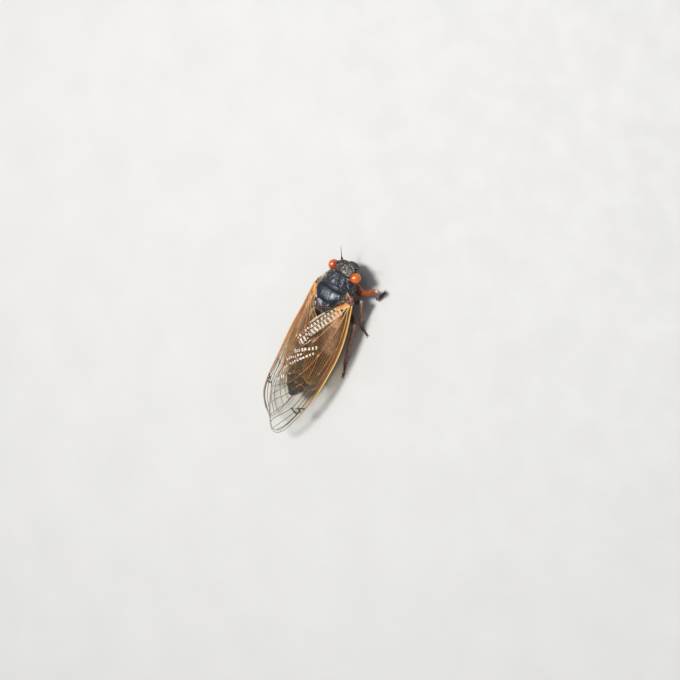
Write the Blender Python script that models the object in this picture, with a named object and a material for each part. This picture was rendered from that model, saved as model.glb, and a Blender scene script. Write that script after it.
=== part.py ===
"""A periodical cicada at rest, as a still, life-size model.

The head points to -Y, the wing tips to +Y and +Z is up. The feet stand on z = 0.
Every shape is worked out in millimetres. The station s is the distance behind the
front of the head, and each finished part is scaled to metres.
"""

import math

import bmesh
import bpy
import numpy as np
from mathutils import Matrix, Vector
from mathutils.geometry import delaunay_2d_cdt

MM = 0.001
GAP = 0.3
NOSE_Y = -18.15
LEFT, RIGHT = 1, -1

# Head and eyes
EYE_RADIUS = 1.08
EYE_OUT = 2.82
EYE_STATION = 2.2
EYE_HEIGHT = 5.6
HEAD_REAR = 2.55
CLYPEUS_CENTRE = (0.0, 1.2, 3.7)
CLYPEUS_RADII = (1.3, 1.05, 1.55)
CLYPEUS_RIDGES = 6
CLYPEUS_GROOVE = 0.09
OCELLI = [(0, 1.25, 6.36), (0.5, 1.75, 6.44), (-0.5, 1.75, 6.44)]
OCELLUS_RADIUS = 0.2

# Thorax and abdomen, as stations and heights
PRONOTUM_FRONT = 2.85
PRONOTUM_REAR = 5.6
MESONOTUM_FRONT = PRONOTUM_REAR + GAP
MESONOTUM_REAR = 10.9
MESONOTUM_FLOOR = 5.6
THORAX_REAR = 11.3
THORAX_HALF_WIDTH = 3.6
BELLY = 1.7
ABDOMEN_FRONT = THORAX_REAR + GAP
ABDOMEN_REAR = 29.9

# Folded wings: a rounded roof over the body, with the right wing on top
WING_THICKNESS = 0.5
RIDGE_TOP = 8.5
RIDGE_BEND = 18.0
RIDGE_FALL = 3.0
ROOF_ROUND = 0.8
ROOF_SLOPE = {RIGHT: 0.66, LEFT: 0.51}
ROOF_STEP = 0.95
WING_BASE = 6.8
WING_TIP = 38.2
LEFT_WING_TIP = 36.4

# Wing veins, raised as ridges in the membrane's upper face
VEIN_RISE = 0.22
VEIN_HALF_WIDTH = 0.27
COSTA_HALF_WIDTH = 0.42
MARGIN_INSET = 0.6
FORE_STEP = 1.15
HIND_STEP = 2.2

# Feet
FOOT_RADIUS = 0.28
ANKLE_HEIGHT = 0.62
CLAW_LENGTH = 0.5
CLAW_RADIUS = 0.1


def point(out, station, height, side=LEFT):
    """A place in the model: out from the middle, behind the head's front, and up."""
    return Vector((side * out, NOSE_Y + station, height))


def smooth_path(points, step):
    """A Catmull-Rom curve through the points, with a place about every step."""
    points = [Vector(p) for p in points]
    ends = [points[0] * 2 - points[1]] + points + [points[-1] * 2 - points[-2]]
    path = [points[0]]
    for a, b, c, d in zip(ends, ends[1:], ends[2:], ends[3:]):
        count = max(1, round((c - b).length / step))
        for i in range(1, count + 1):
            t = i / count
            path.append(0.5 * (2 * b + (c - a) * t + (2 * a - 5 * b + 4 * c - d) * t ** 2
                               + (3 * b - a - 3 * c + d) * t ** 3))
    return path


def curve_value(points, at):
    """The height, at one place, of the smooth curve through (place, height) points."""
    path = smooth_path([(p[0], p[1], 0) for p in points], 0.25)
    return float(np.interp(at, [p.x for p in path], [p.y for p in path]))


def make_material(name, colour, roughness, metallic=0.0, alpha=1.0):
    material = bpy.data.materials.new(name)
    material.use_nodes = True
    shader = material.node_tree.nodes["Principled BSDF"]
    shader.inputs["Base Color"].default_value = (*colour, 1)
    shader.inputs["Roughness"].default_value = roughness
    shader.inputs["Metallic"].default_value = metallic
    shader.inputs["Alpha"].default_value = alpha
    return material


def new_object(name, mesh, collection):
    obj = bpy.data.objects.new(name, mesh)
    collection.objects.link(obj)
    return obj


def mesh_from(name, bm):
    bmesh.ops.recalc_face_normals(bm, faces=bm.faces)
    mesh = bpy.data.meshes.new(name)
    bm.to_mesh(mesh)
    bm.free()
    return mesh


def lofted(name, rings):
    """A closed mesh through rings of equal count, with a fan of triangles at each end."""
    bm = bmesh.new()
    loops = [[bm.verts.new(p) for p in ring] for ring in rings]
    count = len(loops[0])
    for low, high in zip(loops, loops[1:]):
        for i in range(count):
            j = (i + 1) % count
            bm.faces.new((low[i], low[j], high[j], high[i]))
    for loop in (loops[0], loops[-1]):
        middle = bm.verts.new(sum((v.co for v in loop), Vector()) / count)
        for i in range(count):
            bm.faces.new((loop[i], loop[(i + 1) % count], middle))
    bmesh.ops.triangulate(bm, faces=[f for f in bm.faces if len(f.verts) > 3])
    return mesh_from(name, bm)


def body_ring(station, half, top, bottom, sides=24, waist=0.5, squareness=1.0):
    """An oval section across the body, widest at the waist between bottom and top."""
    middle = bottom + (top - bottom) * waist
    ring = []
    for i in range(sides):
        angle = 2 * math.pi * i / sides
        c, s = math.cos(angle), math.sin(angle)
        reach = top - middle if s > 0 else middle - bottom
        ring.append(point(math.copysign(abs(c) ** squareness, c) * half, station,
                          middle + math.copysign(abs(s) ** squareness, s) * reach))
    return ring


def body_loft(name, sections, **shape):
    return lofted(name, [body_ring(*section, **shape) for section in sections])


def ellipsoid(name, centre, radii, segments=20, rings=12):
    bm = bmesh.new()
    bmesh.ops.create_uvsphere(bm, u_segments=segments, v_segments=rings, radius=1)
    bmesh.ops.scale(bm, vec=Vector(radii), verts=bm.verts)
    bmesh.ops.translate(bm, vec=Vector(centre), verts=bm.verts)
    return mesh_from(name, bm)


def limb(name, path, radii, sides=8, floor=None):
    """A round limb along a path, one radius to each point, that ends in a dome."""
    path = [Vector(p) for p in path]
    start, end = (path[1] - path[0]).normalized(), (path[-1] - path[-2]).normalized()
    first, last = radii[0], radii[-1]
    path = [path[0], path[0] + start * first * 0.2, *path[1:],
            path[-1] + end * last * 0.5, path[-1] + end * last * 0.87]
    radii = [first * 0.8, *radii, last * 0.87, last * 0.5]
    rings = []
    side_way = start.orthogonal() if abs(start.z) > 0.95 else start.cross(Vector((0, 0, 1)))
    for i, centre in enumerate(path):
        along = (path[min(i + 1, len(path) - 1)] - path[max(i - 1, 0)]).normalized()
        side_way = (side_way - along * side_way.dot(along)).normalized()
        up = along.cross(side_way)
        ring = []
        for k in range(sides):
            angle = 2 * math.pi * (k + 0.5) / sides
            place = centre + (side_way * math.cos(angle) + up * math.sin(angle)) * radii[i]
            if floor is not None:
                place.z = max(place.z, floor)
            ring.append(place)
        rings.append(ring)
    return lofted(name, rings)


def cone(name, base, tip, radius, sides=5):
    """A pointed spine or claw, from its base to its tip."""
    along = tip - base
    bm = bmesh.new()
    bmesh.ops.create_cone(bm, cap_ends=True, segments=sides, radius1=radius, radius2=0,
                          depth=along.length)
    turn = Vector((0, 0, 1)).rotation_difference(along).to_matrix().to_4x4()
    bmesh.ops.transform(bm, verts=bm.verts, matrix=Matrix.Translation((base + tip) / 2) @ turn)
    return mesh_from(name, bm)


def evaluated_mesh(obj):
    graph = bpy.context.evaluated_depsgraph_get()
    return bpy.data.meshes.new_from_object(obj.evaluated_get(graph))


def largest_body(mesh):
    """Keep only the closed surface that holds the most."""
    bm = bmesh.new()
    bm.from_mesh(mesh)
    bmesh.ops.triangulate(bm, faces=bm.faces)
    left, bodies = set(bm.verts), []
    while left:
        body, edge = set(), [left.pop()]
        while edge:
            vert = edge.pop()
            body.add(vert)
            for other in (e.other_vert(vert) for e in vert.link_edges):
                if other in left:
                    left.discard(other)
                    edge.append(other)
        faces = {f for v in body for f in v.link_faces}
        volume = sum(f.verts[0].co.dot(f.verts[1].co.cross(f.verts[2].co)) for f in faces)
        bodies.append((abs(volume), body))
    keep = max(bodies, key=lambda entry: entry[0])[1]
    bmesh.ops.delete(bm, geom=[v for v in bm.verts if v not in keep], context="VERTS")
    bm.to_mesh(mesh)
    bm.free()
    return mesh


def combined(name, mesh, others, operation, solver="EXACT"):
    """One mesh joined with others, or cut by them."""
    tools = bpy.data.collections.new(name + "_tools")
    bpy.context.scene.collection.children.link(tools)
    body = new_object(name + "_body", mesh, bpy.context.scene.collection)
    for i, other in enumerate(others):
        new_object(f"{name}_tool_{i}", other, tools)
    modifier = body.modifiers.new("Join", "BOOLEAN")
    modifier.operand_type = "COLLECTION"
    modifier.collection = tools
    modifier.operation = operation
    modifier.solver = solver
    result = evaluated_mesh(body)
    for obj in [body, *tools.objects]:
        bpy.data.objects.remove(obj)
    bpy.data.collections.remove(tools)
    return largest_body(result)


def finish(name, mesh, material, smooth_angle=40):
    """Scale a mesh to metres and put it in the model."""
    mesh.transform(Matrix.Scale(MM, 4))
    mesh.materials.clear()
    mesh.materials.append(material)
    mesh.shade_smooth()
    mesh.set_sharp_from_angle(angle=math.radians(smooth_angle))
    obj = new_object(name, mesh, bpy.data.collections["cicada"])
    obj.parent = bpy.data.objects["cicada_frame"]
    return obj


def eye_centre(side):
    return point(EYE_OUT, EYE_STATION, EYE_HEIGHT, side)


def eye_clearance():
    return [ellipsoid(f"eye_room_{side}", eye_centre(side), [EYE_RADIUS + GAP] * 3)
            for side in (LEFT, RIGHT)]


def build_postclypeus(materials):
    """The bulging face plate, with a row of ridges across it."""
    rows = 2 * CLYPEUS_RIDGES + 2
    clypeus = ellipsoid("postclypeus", (0, 0, 0), (1, 1, 1), 20, rows)
    for vert in clypeus.vertices:
        row = round(math.acos(max(-1, min(1, vert.co.z))) / math.pi * rows)
        groove = CLYPEUS_GROOVE if row % 2 == 0 and 0 < row < rows else 0
        vert.co = Vector((v * (r - groove) for v, r in zip(vert.co, CLYPEUS_RADII)))
        vert.co += point(*CLYPEUS_CENTRE)
    finish("postclypeus", clypeus, materials["black"])


HEAD_SECTIONS = [(0.3, 0.9, 5.9, 5.2), (0.6, 1.8, 6.1, 4.3), (1.05, 2.4, 6.3, 3.4),
                 (1.6, 2.75, 6.45, 2.9), (2.15, 2.85, 6.55, 2.75), (HEAD_REAR, 2.8, 6.55, 2.8)]
BEAK = [(0, 1.9, 1.95), (0, 3.3, 1.7), (0, 5.8, 1.25)]
BEAK_RADII = (0.42, 0.36, 0.25)


def build_head(materials):
    head = body_loft("head", HEAD_SECTIONS, waist=0.6)
    room = ellipsoid("clypeus_room", point(*CLYPEUS_CENTRE), [r + GAP for r in CLYPEUS_RADII])
    head = combined("head", head, eye_clearance() + [room], "DIFFERENCE")
    ocelli = [ellipsoid(f"ocellus_{i}", point(*place), [OCELLUS_RADIUS] * 3, 8, 6)
              for i, place in enumerate(OCELLI)]
    head = combined("head", head, ocelli, "UNION")
    finish("head", head, materials["black"])
    build_postclypeus(materials)
    beak = limb("rostrum", [point(*p) for p in BEAK], BEAK_RADII)
    finish("rostrum", beak, materials["brown"])
    for side, word in ((LEFT, "left"), (RIGHT, "right")):
        eye = ellipsoid("eye_" + word, eye_centre(side), [EYE_RADIUS] * 3)
        finish("eye_" + word, eye, materials["eye"])


ANTENNA_BASE = (1.98, 0.6, 5.0)
ANTENNA_TIPS = {LEFT: (3.0, -1.85, 5.8), RIGHT: (3.75, -0.85, 6.35)}
ANTENNA_SHAPE = [(0, 0.3), (0.12, 0.3), (0.25, 0.22), (0.6, 0.16), (1, 0.08)]


def build_antenna(side, word, materials):
    base = point(*ANTENNA_BASE, side)
    tip = point(*ANTENNA_TIPS[side], side)
    path = [base.lerp(tip, t) for t, _ in ANTENNA_SHAPE]
    antenna = limb("antenna_" + word, path, [r for _, r in ANTENNA_SHAPE], sides=6)
    finish("antenna_" + word, antenna, materials["brown"])


PRONOTUM_SECTIONS = [(PRONOTUM_FRONT, 2.9, 6.6, 2.9), (3.3, 3.2, 6.95, 2.7),
                     (4.2, 3.42, 7.4, 2.5), (4.85, 3.55, 7.65, 2.5), (5.0, 3.75, 7.85, 2.45),
                     (5.4, 3.85, 8.0, 2.45), (PRONOTUM_REAR, 3.8, 7.95, 2.55)]


def build_pronotum(materials):
    pronotum = body_loft("pronotum", PRONOTUM_SECTIONS)
    pronotum = combined("pronotum", pronotum, eye_clearance(), "DIFFERENCE")
    finish("pronotum", pronotum, materials["black"])


MESONOTUM_SECTIONS = [(MESONOTUM_FRONT, 3.3, 8.0), (6.3, 3.5, 8.25), (7.2, 3.3, 8.6),
                      (8.2, 2.6, 8.75), (9.0, 1.95, 8.7), (9.8, 1.45, 8.45),
                      (10.4, 1.1, 8.2), (MESONOTUM_REAR, 0.7, 7.8)]


# The cross-shaped ridge at the rear of the back plate: its centre and the ends of two arms
CROSS_CENTRE = (0, 9.7, 8.55)
CROSS_ARMS = [(1.2, 8.85, 8.34), (0.72, 10.5, 7.75)]
CROSS_RADII = (0.36, 0.3, 0.22)


def build_mesonotum(materials):
    sections = [(s, half, top, MESONOTUM_FLOOR) for s, half, top in MESONOTUM_SECTIONS]
    plate = body_loft("mesonotum", sections, waist=0.25)
    arms = []
    for i, arm in enumerate(CROSS_ARMS):
        for side in (LEFT, RIGHT):
            start, end = point(*CROSS_CENTRE), point(*arm, side)
            path = [start.lerp(end, -0.2), start.lerp(end, 0.5), end]
            arms.append(limb(f"arm_{i}_{side}", path, CROSS_RADII, sides=6))
    finish("mesonotum", combined("mesonotum", plate, arms, "UNION"), materials["black"])


THORAX_TOP = MESONOTUM_FLOOR - GAP
THORAX_SECTIONS = [(MESONOTUM_FRONT, THORAX_HALF_WIDTH - 0.2, THORAX_TOP - 0.1, BELLY + 0.4),
                   (7.0, THORAX_HALF_WIDTH, THORAX_TOP, BELLY + 0.1),
                   (9.0, THORAX_HALF_WIDTH, THORAX_TOP, BELLY),
                   (10.5, THORAX_HALF_WIDTH - 0.1, THORAX_TOP, BELLY),
                   (THORAX_REAR, THORAX_HALF_WIDTH - 0.3, THORAX_TOP, BELLY + 0.1)]
THORAX_SQUARENESS = 0.8


def build_thorax(materials):
    thorax = body_loft("thorax", THORAX_SECTIONS, squareness=THORAX_SQUARENESS)
    finish("thorax", thorax, materials["black"])


ABDOMEN_SECTIONS = [(ABDOMEN_FRONT, 3.2, 5.8, 1.9), (14.0, 3.6, 6.1, 1.5),
                    (18.0, 3.65, 6.2, 1.5), (22.0, 3.5, 6.2, 1.8), (25.0, 3.05, 6.0, 2.2),
                    (27.4, 2.25, 5.6, 2.8), (29.2, 1.2, 5.1, 3.4), (ABDOMEN_REAR, 0.4, 4.7, 3.9)]
SEGMENT_ENDS = [13.0, 14.9, 16.9, 18.9, 20.9, 22.9, 24.9, 26.8, 28.4]
SEGMENT_LIP = 0.13
SEGMENT_LIP_WIDTH = 0.3
SEGMENT_STEP = 0.06
SHEATH = [(0, 24.8, 2.35), (0, 27.2, 2.75), (0, 29.4, 3.5)]
SHEATH_RADII = (0.3, 0.32, 0.22)


def abdomen_section(station, swell=0.0):
    half, top, bottom = (curve_value([(r[0], r[k]) for r in ABDOMEN_SECTIONS], station)
                         for k in (1, 2, 3))
    return (station, half + swell, top + swell, bottom - swell)


def build_abdomen(materials):
    """Nine rings, each with a raised rear edge that overhangs the next, and the egg tube's sheath."""
    sections, start = [], ABDOMEN_FRONT
    for end in SEGMENT_ENDS:
        sections += [abdomen_section(start),
                     abdomen_section(end - SEGMENT_LIP_WIDTH, SEGMENT_LIP),
                     abdomen_section(end, SEGMENT_LIP)]
        start = end + SEGMENT_STEP
    sections += [abdomen_section(start), abdomen_section(ABDOMEN_REAR)]
    abdomen = body_loft("abdomen", sections, sides=22)
    sheath = limb("sheath", [point(*p) for p in SHEATH], SHEATH_RADII, sides=6)
    finish("abdomen", combined("abdomen", abdomen, [sheath], "UNION"), materials["black"])


# Wing outlines as (station, out). The left wing lies a little further out, under the right.
COSTAL_EDGE = {
    RIGHT: [(WING_BASE, 4.7), (9.0, 5.15), (12, 5.75), (15, 6.15), (18, 6.3), (21, 6.22),
            (24, 6.0), (27, 5.6), (30, 4.9), (32.5, 4.15), (34.5, 3.4), (36.2, 2.65), (37.3, 1.95),
            (38.0, 1.25), (WING_TIP, 0.6)],
    LEFT: [(WING_BASE, 4.9), (9.0, 5.05), (12, 5.5), (15, 6.05), (18, 6.4), (21, 6.5), (24, 6.55),
           (27, 6.8), (30, 7.1), (32, 7.15), (33.6, 6.8), (34.8, 5.9), (35.7, 4.5), (36.2, 3.0),
           (LEFT_WING_TIP, 1.9)],
}
INNER_BASE = [(WING_BASE + 0.6, THORAX_HALF_WIDTH + GAP), (8.2, 2.95), (9.0, 2.3), (9.8, 1.8),
              (10.9, 1.05), (11.9, 0.25), (13, -0.5)]
INNER_EDGE = {
    RIGHT: INNER_BASE + [(16, -1.5), (20, -2.4), (25, -3.2), (28.3, -3.8), (30.5, -3.75),
                         (33, -3.05), (34.7, -2.25), (36.4, -1.2), (37.4, -0.6), (38.0, 0.0),
                         (WING_TIP, 0.6)],
    LEFT: INNER_BASE + [(16, -1.4), (20, -2.1), (24, -2.4), (27, -2.3), (30, -1.8), (32, -1.2),
                        (34, -0.3), (35.3, 0.6), (36, 1.3), (LEFT_WING_TIP, 1.9)],
}
HIND_OUTER_EDGE = [(9.3, 4.3), (12, 5.35), (15, 5.6), (18, 5.5), (21, 5.3), (24, 4.9), (25.8, 4.3)]
HIND_INNER_EDGE = [(9.6, 3.95), (12, 3.9), (16, 3.95), (20, 3.95), (24, 3.9), (25.8, 4.3)]


def roof_place(x, station, level):
    """A place on the folded wings' roof, level steps below its top layer."""
    side = LEFT if x > 0 else RIGHT
    beyond = max(0.0, (station - RIDGE_BEND) / (WING_TIP - RIDGE_BEND))
    ridge = RIDGE_TOP - RIDGE_FALL * beyond ** 3 - level * ROOF_STEP
    drop = ROOF_SLOPE[side] * (math.hypot(x, ROOF_ROUND) - ROOF_ROUND)
    return Vector((x, NOSE_Y + station, ridge - drop))


def roof_normal(x, station, level):
    small = 0.01
    across = roof_place(x + small, station, level) - roof_place(x - small, station, level)
    along = roof_place(x, station + small, level) - roof_place(x, station - small, level)
    return across.cross(along).normalized()


def wing_outline(outer, inner, step):
    """A loop of (out, station) places, along the outer edge and back along the inner."""
    outer = smooth_path([(o, s) for s, o in outer], step)
    inner = smooth_path([(o, s) for s, o in inner], step)
    return outer + inner[-2::-1]


# Veins of the forewing. Each is a list of places (along, across): along runs from 0 at the
# wing's base to 1 at its tip, and across from 0 at the costal edge to 1 at the inner edge.
MEDIA_FORK = (0.392, 0.357)
MEDIA_FORE_FORK = (0.606, 0.343)
MEDIA_HIND_FORK = (0.621, 0.531)
CUBITUS_FORK = (0.274, 0.537)
SECTOR_FORK = (0.28, 0.08)
RADIUS_FORK = (0.57, 0.08)
NODE = (0.63, 0.2)
FORE_VEINS = {
    "radius": [(0.02, 0.2), (0.11, 0.1), (0.2, 0.08), SECTOR_FORK, (0.45, 0.078), RADIUS_FORK,
               (0.68, 0.075), (0.765, 0.07), (0.83, 0.075), (0.89, 0.1), (0.95, 0.2)],
    "radius_2": [RADIUS_FORK, (0.64, 0.11), (0.71, 0.13), (0.77, 0.14), (0.82, 0.16),
                 (0.88, 0.24), (0.93, 0.38), (0.965, 0.55)],
    "sector": [SECTOR_FORK, (0.36, 0.125), (0.46, 0.157), (0.57, 0.18), NODE, (0.72, 0.205),
               (0.785, 0.24), (0.84, 0.35), (0.89, 0.52), (0.935, 0.78)],
    "media": [(0.02, 0.27), (0.08, 0.23), (0.15, 0.235), (0.23, 0.26), (0.31, 0.315), MEDIA_FORK],
    "media_fore": [MEDIA_FORK, (0.477, 0.31), (0.544, 0.305), MEDIA_FORE_FORK, (0.717, 0.362),
                   (0.784, 0.42), (0.846, 0.56), (0.9, 0.82)],
    "media_2": [MEDIA_FORE_FORK, (0.643, 0.394), (0.696, 0.45), (0.751, 0.56), (0.835, 0.88)],
    "media_hind": [MEDIA_FORK, (0.463, 0.385), (0.519, 0.43), MEDIA_HIND_FORK, (0.697, 0.63),
                   (0.785, 0.91)],
    "media_4": [MEDIA_HIND_FORK, (0.661, 0.65), (0.73, 0.92)],
    "cubitus": [(0.02, 0.42), (0.1, 0.37), (0.19, 0.44), CUBITUS_FORK],
    "cubitus_1": [CUBITUS_FORK, (0.346, 0.58), (0.441, 0.644), (0.519, 0.692), (0.588, 0.77),
                  (0.66, 0.93)],
    "cubitus_2": [CUBITUS_FORK, (0.33, 0.66), (0.42, 0.79), (0.53, 0.96)],
    "claval": [(0.04, 0.72), (0.2, 0.74), (0.35, 0.88), (0.44, 0.97)],
    "arculus": [(0.125, 0.235), (0.12, 0.375)],
    "cross_node": [(0.6, 0.08), NODE, MEDIA_FORE_FORK],
    "cross_radial": [(0.765, 0.07), (0.81, 0.155)],
    "cross_sector": [(0.77, 0.14), (0.785, 0.24)],
    "cross_media": [(0.7, 0.36), (0.7, 0.455)],
    "cross_cubitus": [(0.65, 0.57), (0.6, 0.79)],
}
HIND_VEINS = {"radius": [(0.1, 0.5), (0.3, 0.47), (0.6, 0.48), (0.85, 0.5)]}


def vein_paths(veins, outer, inner, step):
    """Each vein's line over the wing's plan, as (out, station) places."""
    low, high = outer[0][0], outer[-1][0]
    paths = []
    for points in veins.values():
        plan = []
        for along, across in points:
            station = low + along * (high - low)
            edge = curve_value(outer, station)
            plan.append((edge + across * (curve_value(inner, station) - edge), station, 0))
        paths.append([Vector(p.xy) for p in smooth_path(plan, step)])
    return paths


def distances(places, path):
    """The distance of each place from a line through the points of a path."""
    places = np.array([p[:2] for p in places]).reshape(-1, 2)
    nearest = np.full(len(places), np.inf)
    for a, b in zip(path, path[1:]):
        a, b = np.array(a[:2]), np.array(b[:2])
        t = np.clip((places - a) @ (b - a) / ((b - a) @ (b - a)), 0, 1)
        nearest = np.minimum(nearest, np.linalg.norm(places - a - t[:, None] * (b - a), axis=1))
    return nearest


def beside(path, offset):
    """A line at an even distance beside another."""
    line = []
    for i, place in enumerate(path):
        along = (path[min(i + 1, len(path) - 1)] - path[max(i - 1, 0)]).normalized()
        line.append(place + Vector((-along.y, along.x)) * offset)
    return line


def wing_plan(outer, inner, veins, step):
    """The wing's plan in triangles, with edges along each vein, and each corner's rise."""
    outline = [Vector(p[:2]) for p in wing_outline(outer, inner, step)]
    closed = outline + outline[:1]
    costa = outline[:len(outline) // 2]
    paths = vein_paths(veins, outer, inner, step) if veins else []
    if veins:
        tip = len(costa)
        margin = beside(outline[tip - 6:tip + 12], -MARGIN_INSET)
        if min(distances(margin, closed)) < MARGIN_INSET / 2:
            margin = beside(outline[tip - 6:tip + 12], MARGIN_INSET)
        paths = [[p for p, d in zip(path, distances(path, closed)) if d > MARGIN_INSET * 0.9]
                 for path in paths] + [margin]
        paths = [path for path in paths if len(path) > 1]
    places, edges = list(outline), []

    def add_line(line, wanted):
        last = None
        for place, keep in zip(line, wanted):
            if keep:
                places.append(place)
                if last == len(places) - 2:
                    edges.append((last, last + 1))
                last = len(places) - 1

    for path in paths:
        add_line(path, [True] * len(path))
    ribs = [(path, VEIN_HALF_WIDTH) for path in paths]
    if veins:
        ribs.append((costa, COSTA_HALF_WIDTH))
    for own, half in ribs:
        for side in (1, -1):
            line = beside(own, side * half)
            clear = np.array(distances(line, closed)) > VEIN_HALF_WIDTH * 0.8
            inside = [point_inside(p, outline) for p in line]
            for other, other_half in ribs:
                if other is not own:
                    clear &= distances(line, other) > other_half * 0.9
            add_line(line, clear & np.array(inside))
    fill = fill_places(outer, inner, step)
    room = np.full(len(fill), np.inf)
    for line, half in ribs:
        room = np.minimum(room, distances(fill, line) - half)
    places += [p for p, r in zip(fill, room) if r > step * 0.35]
    corners, _, faces, *_ = delaunay_2d_cdt(places, edges, [list(range(len(outline)))], 1, 1e-3)
    rise = np.zeros(len(corners))
    for line, half in ribs:
        rise = np.maximum(rise, 1 - distances(corners, line) / half)
    return corners, faces, VEIN_RISE * np.clip(rise, 0, 1)


def point_inside(place, outline):
    inside = False
    for a, b in zip(outline, outline[1:] + outline[:1]):
        if (a.y > place.y) != (b.y > place.y):
            if place.x < a.x + (place.y - a.y) / (b.y - a.y) * (b.x - a.x):
                inside = not inside
    return inside


def fill_places(outer, inner, step):
    """Rows of places that keep the plan's triangles short enough to follow the roof."""
    low, high = outer[0][0], outer[-1][0]
    rows, places = int((high - low) / step), []
    for row in range(1, rows):
        station = low + row * (high - low) / rows
        inside, outside = curve_value(inner, station), curve_value(outer, station)
        count = int((outside - inside) / step)
        for i in range(1, count):
            places.append(Vector((inside + (outside - inside) * i / count, station)))
    return places


def wing(name, outer, inner, side, level, veins, step):
    """A vane on the roof, split into triangles alike on both faces, with raised veins."""
    corners, faces, rises = wing_plan(outer, inner, veins, step)
    bm = bmesh.new()
    top, bottom = [], []
    for corner, rise in zip(corners, rises):
        x = side * corner.x
        place, out = roof_place(x, corner.y, level), roof_normal(x, corner.y, level)
        top.append(bm.verts.new(place + out * (WING_THICKNESS / 2 + float(rise))))
        bottom.append(bm.verts.new(place - out * WING_THICKNESS / 2))
    edges = {(a, b) for face in faces for a, b in zip(face, face[1:] + face[:1])}
    for face in faces:
        bm.faces.new([top[i] for i in face])
        bm.faces.new([bottom[i] for i in reversed(face)])
    for a, b in edges:
        if (b, a) not in edges:
            bm.faces.new((top[b], top[a], bottom[a]))
            bm.faces.new((top[b], bottom[a], bottom[b]))
    return mesh_from(name, bm)


def build_wings(materials):
    for side, word, level in ((RIGHT, "right", 0), (LEFT, "left", 1)):
        fore = wing("forewing_" + word, COSTAL_EDGE[side], INNER_EDGE[side], side, level,
                    FORE_VEINS, FORE_STEP)
        finish("forewing_" + word, fore, materials["membrane"])
        hind = wing("hindwing_" + word, HIND_OUTER_EDGE, HIND_INNER_EDGE, side, level + 1,
                    HIND_VEINS, HIND_STEP)
        finish("hindwing_" + word, hind, materials["membrane"])


def skin_place(sections, station, angle, side, squareness=1.0):
    """A place on a body's skin and the way out of it, at an angle below its waist."""
    lower = max((r for r in sections if r[0] <= station), key=lambda r: r[0])
    upper = min((r for r in sections if r[0] > station), key=lambda r: r[0])
    t = (station - lower[0]) / (upper[0] - lower[0])
    _, half, top, bottom = (a + (b - a) * t for a, b in zip(lower, upper))
    middle = (top + bottom) / 2

    def at(turn):
        return point(half * math.cos(turn) ** squareness, station,
                     middle - math.sin(turn) ** squareness * (middle - bottom), side)

    small = 0.01
    along = at(angle + small) - at(angle - small)
    out = Vector((-along.z, 0, along.x)).normalized()
    return at(angle), out if out.z < 0 else -out


# Each leg's root as (station, angle below the waist), then hip and knee as (out, station,
# height), then ankle and toe as (out, station)
LEGS = {
    ("fore", RIGHT): ((4.1, 50), (3.6, 4.7, 2.0), (7.2, 2.6, 3.0), (6.35, 4.9), (7.1, 2.9)),
    ("fore", LEFT): ((3.8, 60), (2.6, 3.3, 1.6), (5.5, 5.7, 2.3), (5.3, 8.4), (7.0, 7.2)),
    ("mid", RIGHT): ((7.2, 70), (3.0, 7.5, 1.05), (5.3, 6.0, 4.0), (5.76, 11.4), (7.5, 12.2)),
    ("mid", LEFT): ((7.8, 70), (3.0, 8.1, 1.05), (5.4, 8.2, 4.0), (6.0, 13.2), (7.5, 14.2)),
    ("hind", RIGHT): ((9.8, 70), (3.0, 10.3, 1.05), (5.8, 11.0, 3.5), (5.94, 19.5), (6.6, 22.0)),
    ("hind", LEFT): ((9.8, 70), (3.0, 10.3, 1.05), (5.8, 11.3, 3.5), (6.0, 19.7), (6.7, 22.2)),
}
LEG_BODIES = {"fore": (PRONOTUM_SECTIONS, 1.0), "mid": (THORAX_SECTIONS, THORAX_SQUARENESS),
              "hind": (THORAX_SECTIONS, THORAX_SQUARENESS)}
SEGMENT_RADII = {
    "fore": {"coxa": (0.5, 0.42), "femur": (0.45, 0.58, 0.5, 0.4), "tibia": (0.28, 0.3, 0.3)},
    "mid": {"coxa": (0.42, 0.36), "femur": (0.34, 0.42, 0.34), "tibia": (0.26, 0.26, 0.27)},
    "hind": {"coxa": (0.42, 0.36), "femur": (0.34, 0.42, 0.34), "tibia": (0.26, 0.26, 0.27)},
}
FOOT_RADII = (0.25, FOOT_RADIUS, FOOT_RADIUS, 0.2)
# Spines as (place along the segment, degrees round it from its outer side, length)
SPINES = {
    ("fore", "femur"): [(0.35, -75, 0.75), (0.62, -80, 0.65), (0.82, -80, 0.45)],
    ("mid", "tibia"): [(0.5, 30, 0.5), (0.8, -40, 0.5), (0.97, 20, 0.45)],
    ("hind", "tibia"): [(0.3, 40, 0.55), (0.48, -30, 0.55), (0.64, 40, 0.6), (0.8, -30, 0.6),
                        (0.97, 30, 0.5), (0.97, -50, 0.5)],
}
SPINE_RADIUS = 0.13
SPINE_LEAN = 0.7


def spines(start, end, radius, entries, side):
    """Pointed spines on a leg segment, leaning towards its far end."""
    along = (end - start).normalized()
    outward = Vector((side, 0, 0))
    outward = (outward - along * outward.dot(along)).normalized()
    upward = Vector((0, 0, 1)) - along * along.z
    upward = (upward - outward * upward.dot(outward)).normalized()
    made = []
    for i, (t, degrees, length) in enumerate(entries):
        angle = math.radians(degrees)
        way = outward * math.cos(angle) + upward * math.sin(angle)
        base = start.lerp(end, t) + way * radius * 0.4
        made.append(cone(f"spine_{i}", base, base + (way + along * SPINE_LEAN).normalized()
                         * (length + radius * 0.6), SPINE_RADIUS))
    return made


def claws(toe, way):
    across = Vector((-way.y, way.x, 0))
    made = []
    for i, turn in enumerate((0.5, -0.5)):
        tip = toe + (way + across * turn).normalized() * (CLAW_LENGTH + FOOT_RADII[-1] / 2)
        tip.z = CLAW_RADIUS / 2
        base = toe + across * turn * 0.1
        base.z = toe.z
        made.append(cone(f"claw_{i}", base, tip, CLAW_RADIUS))
    return made


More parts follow.
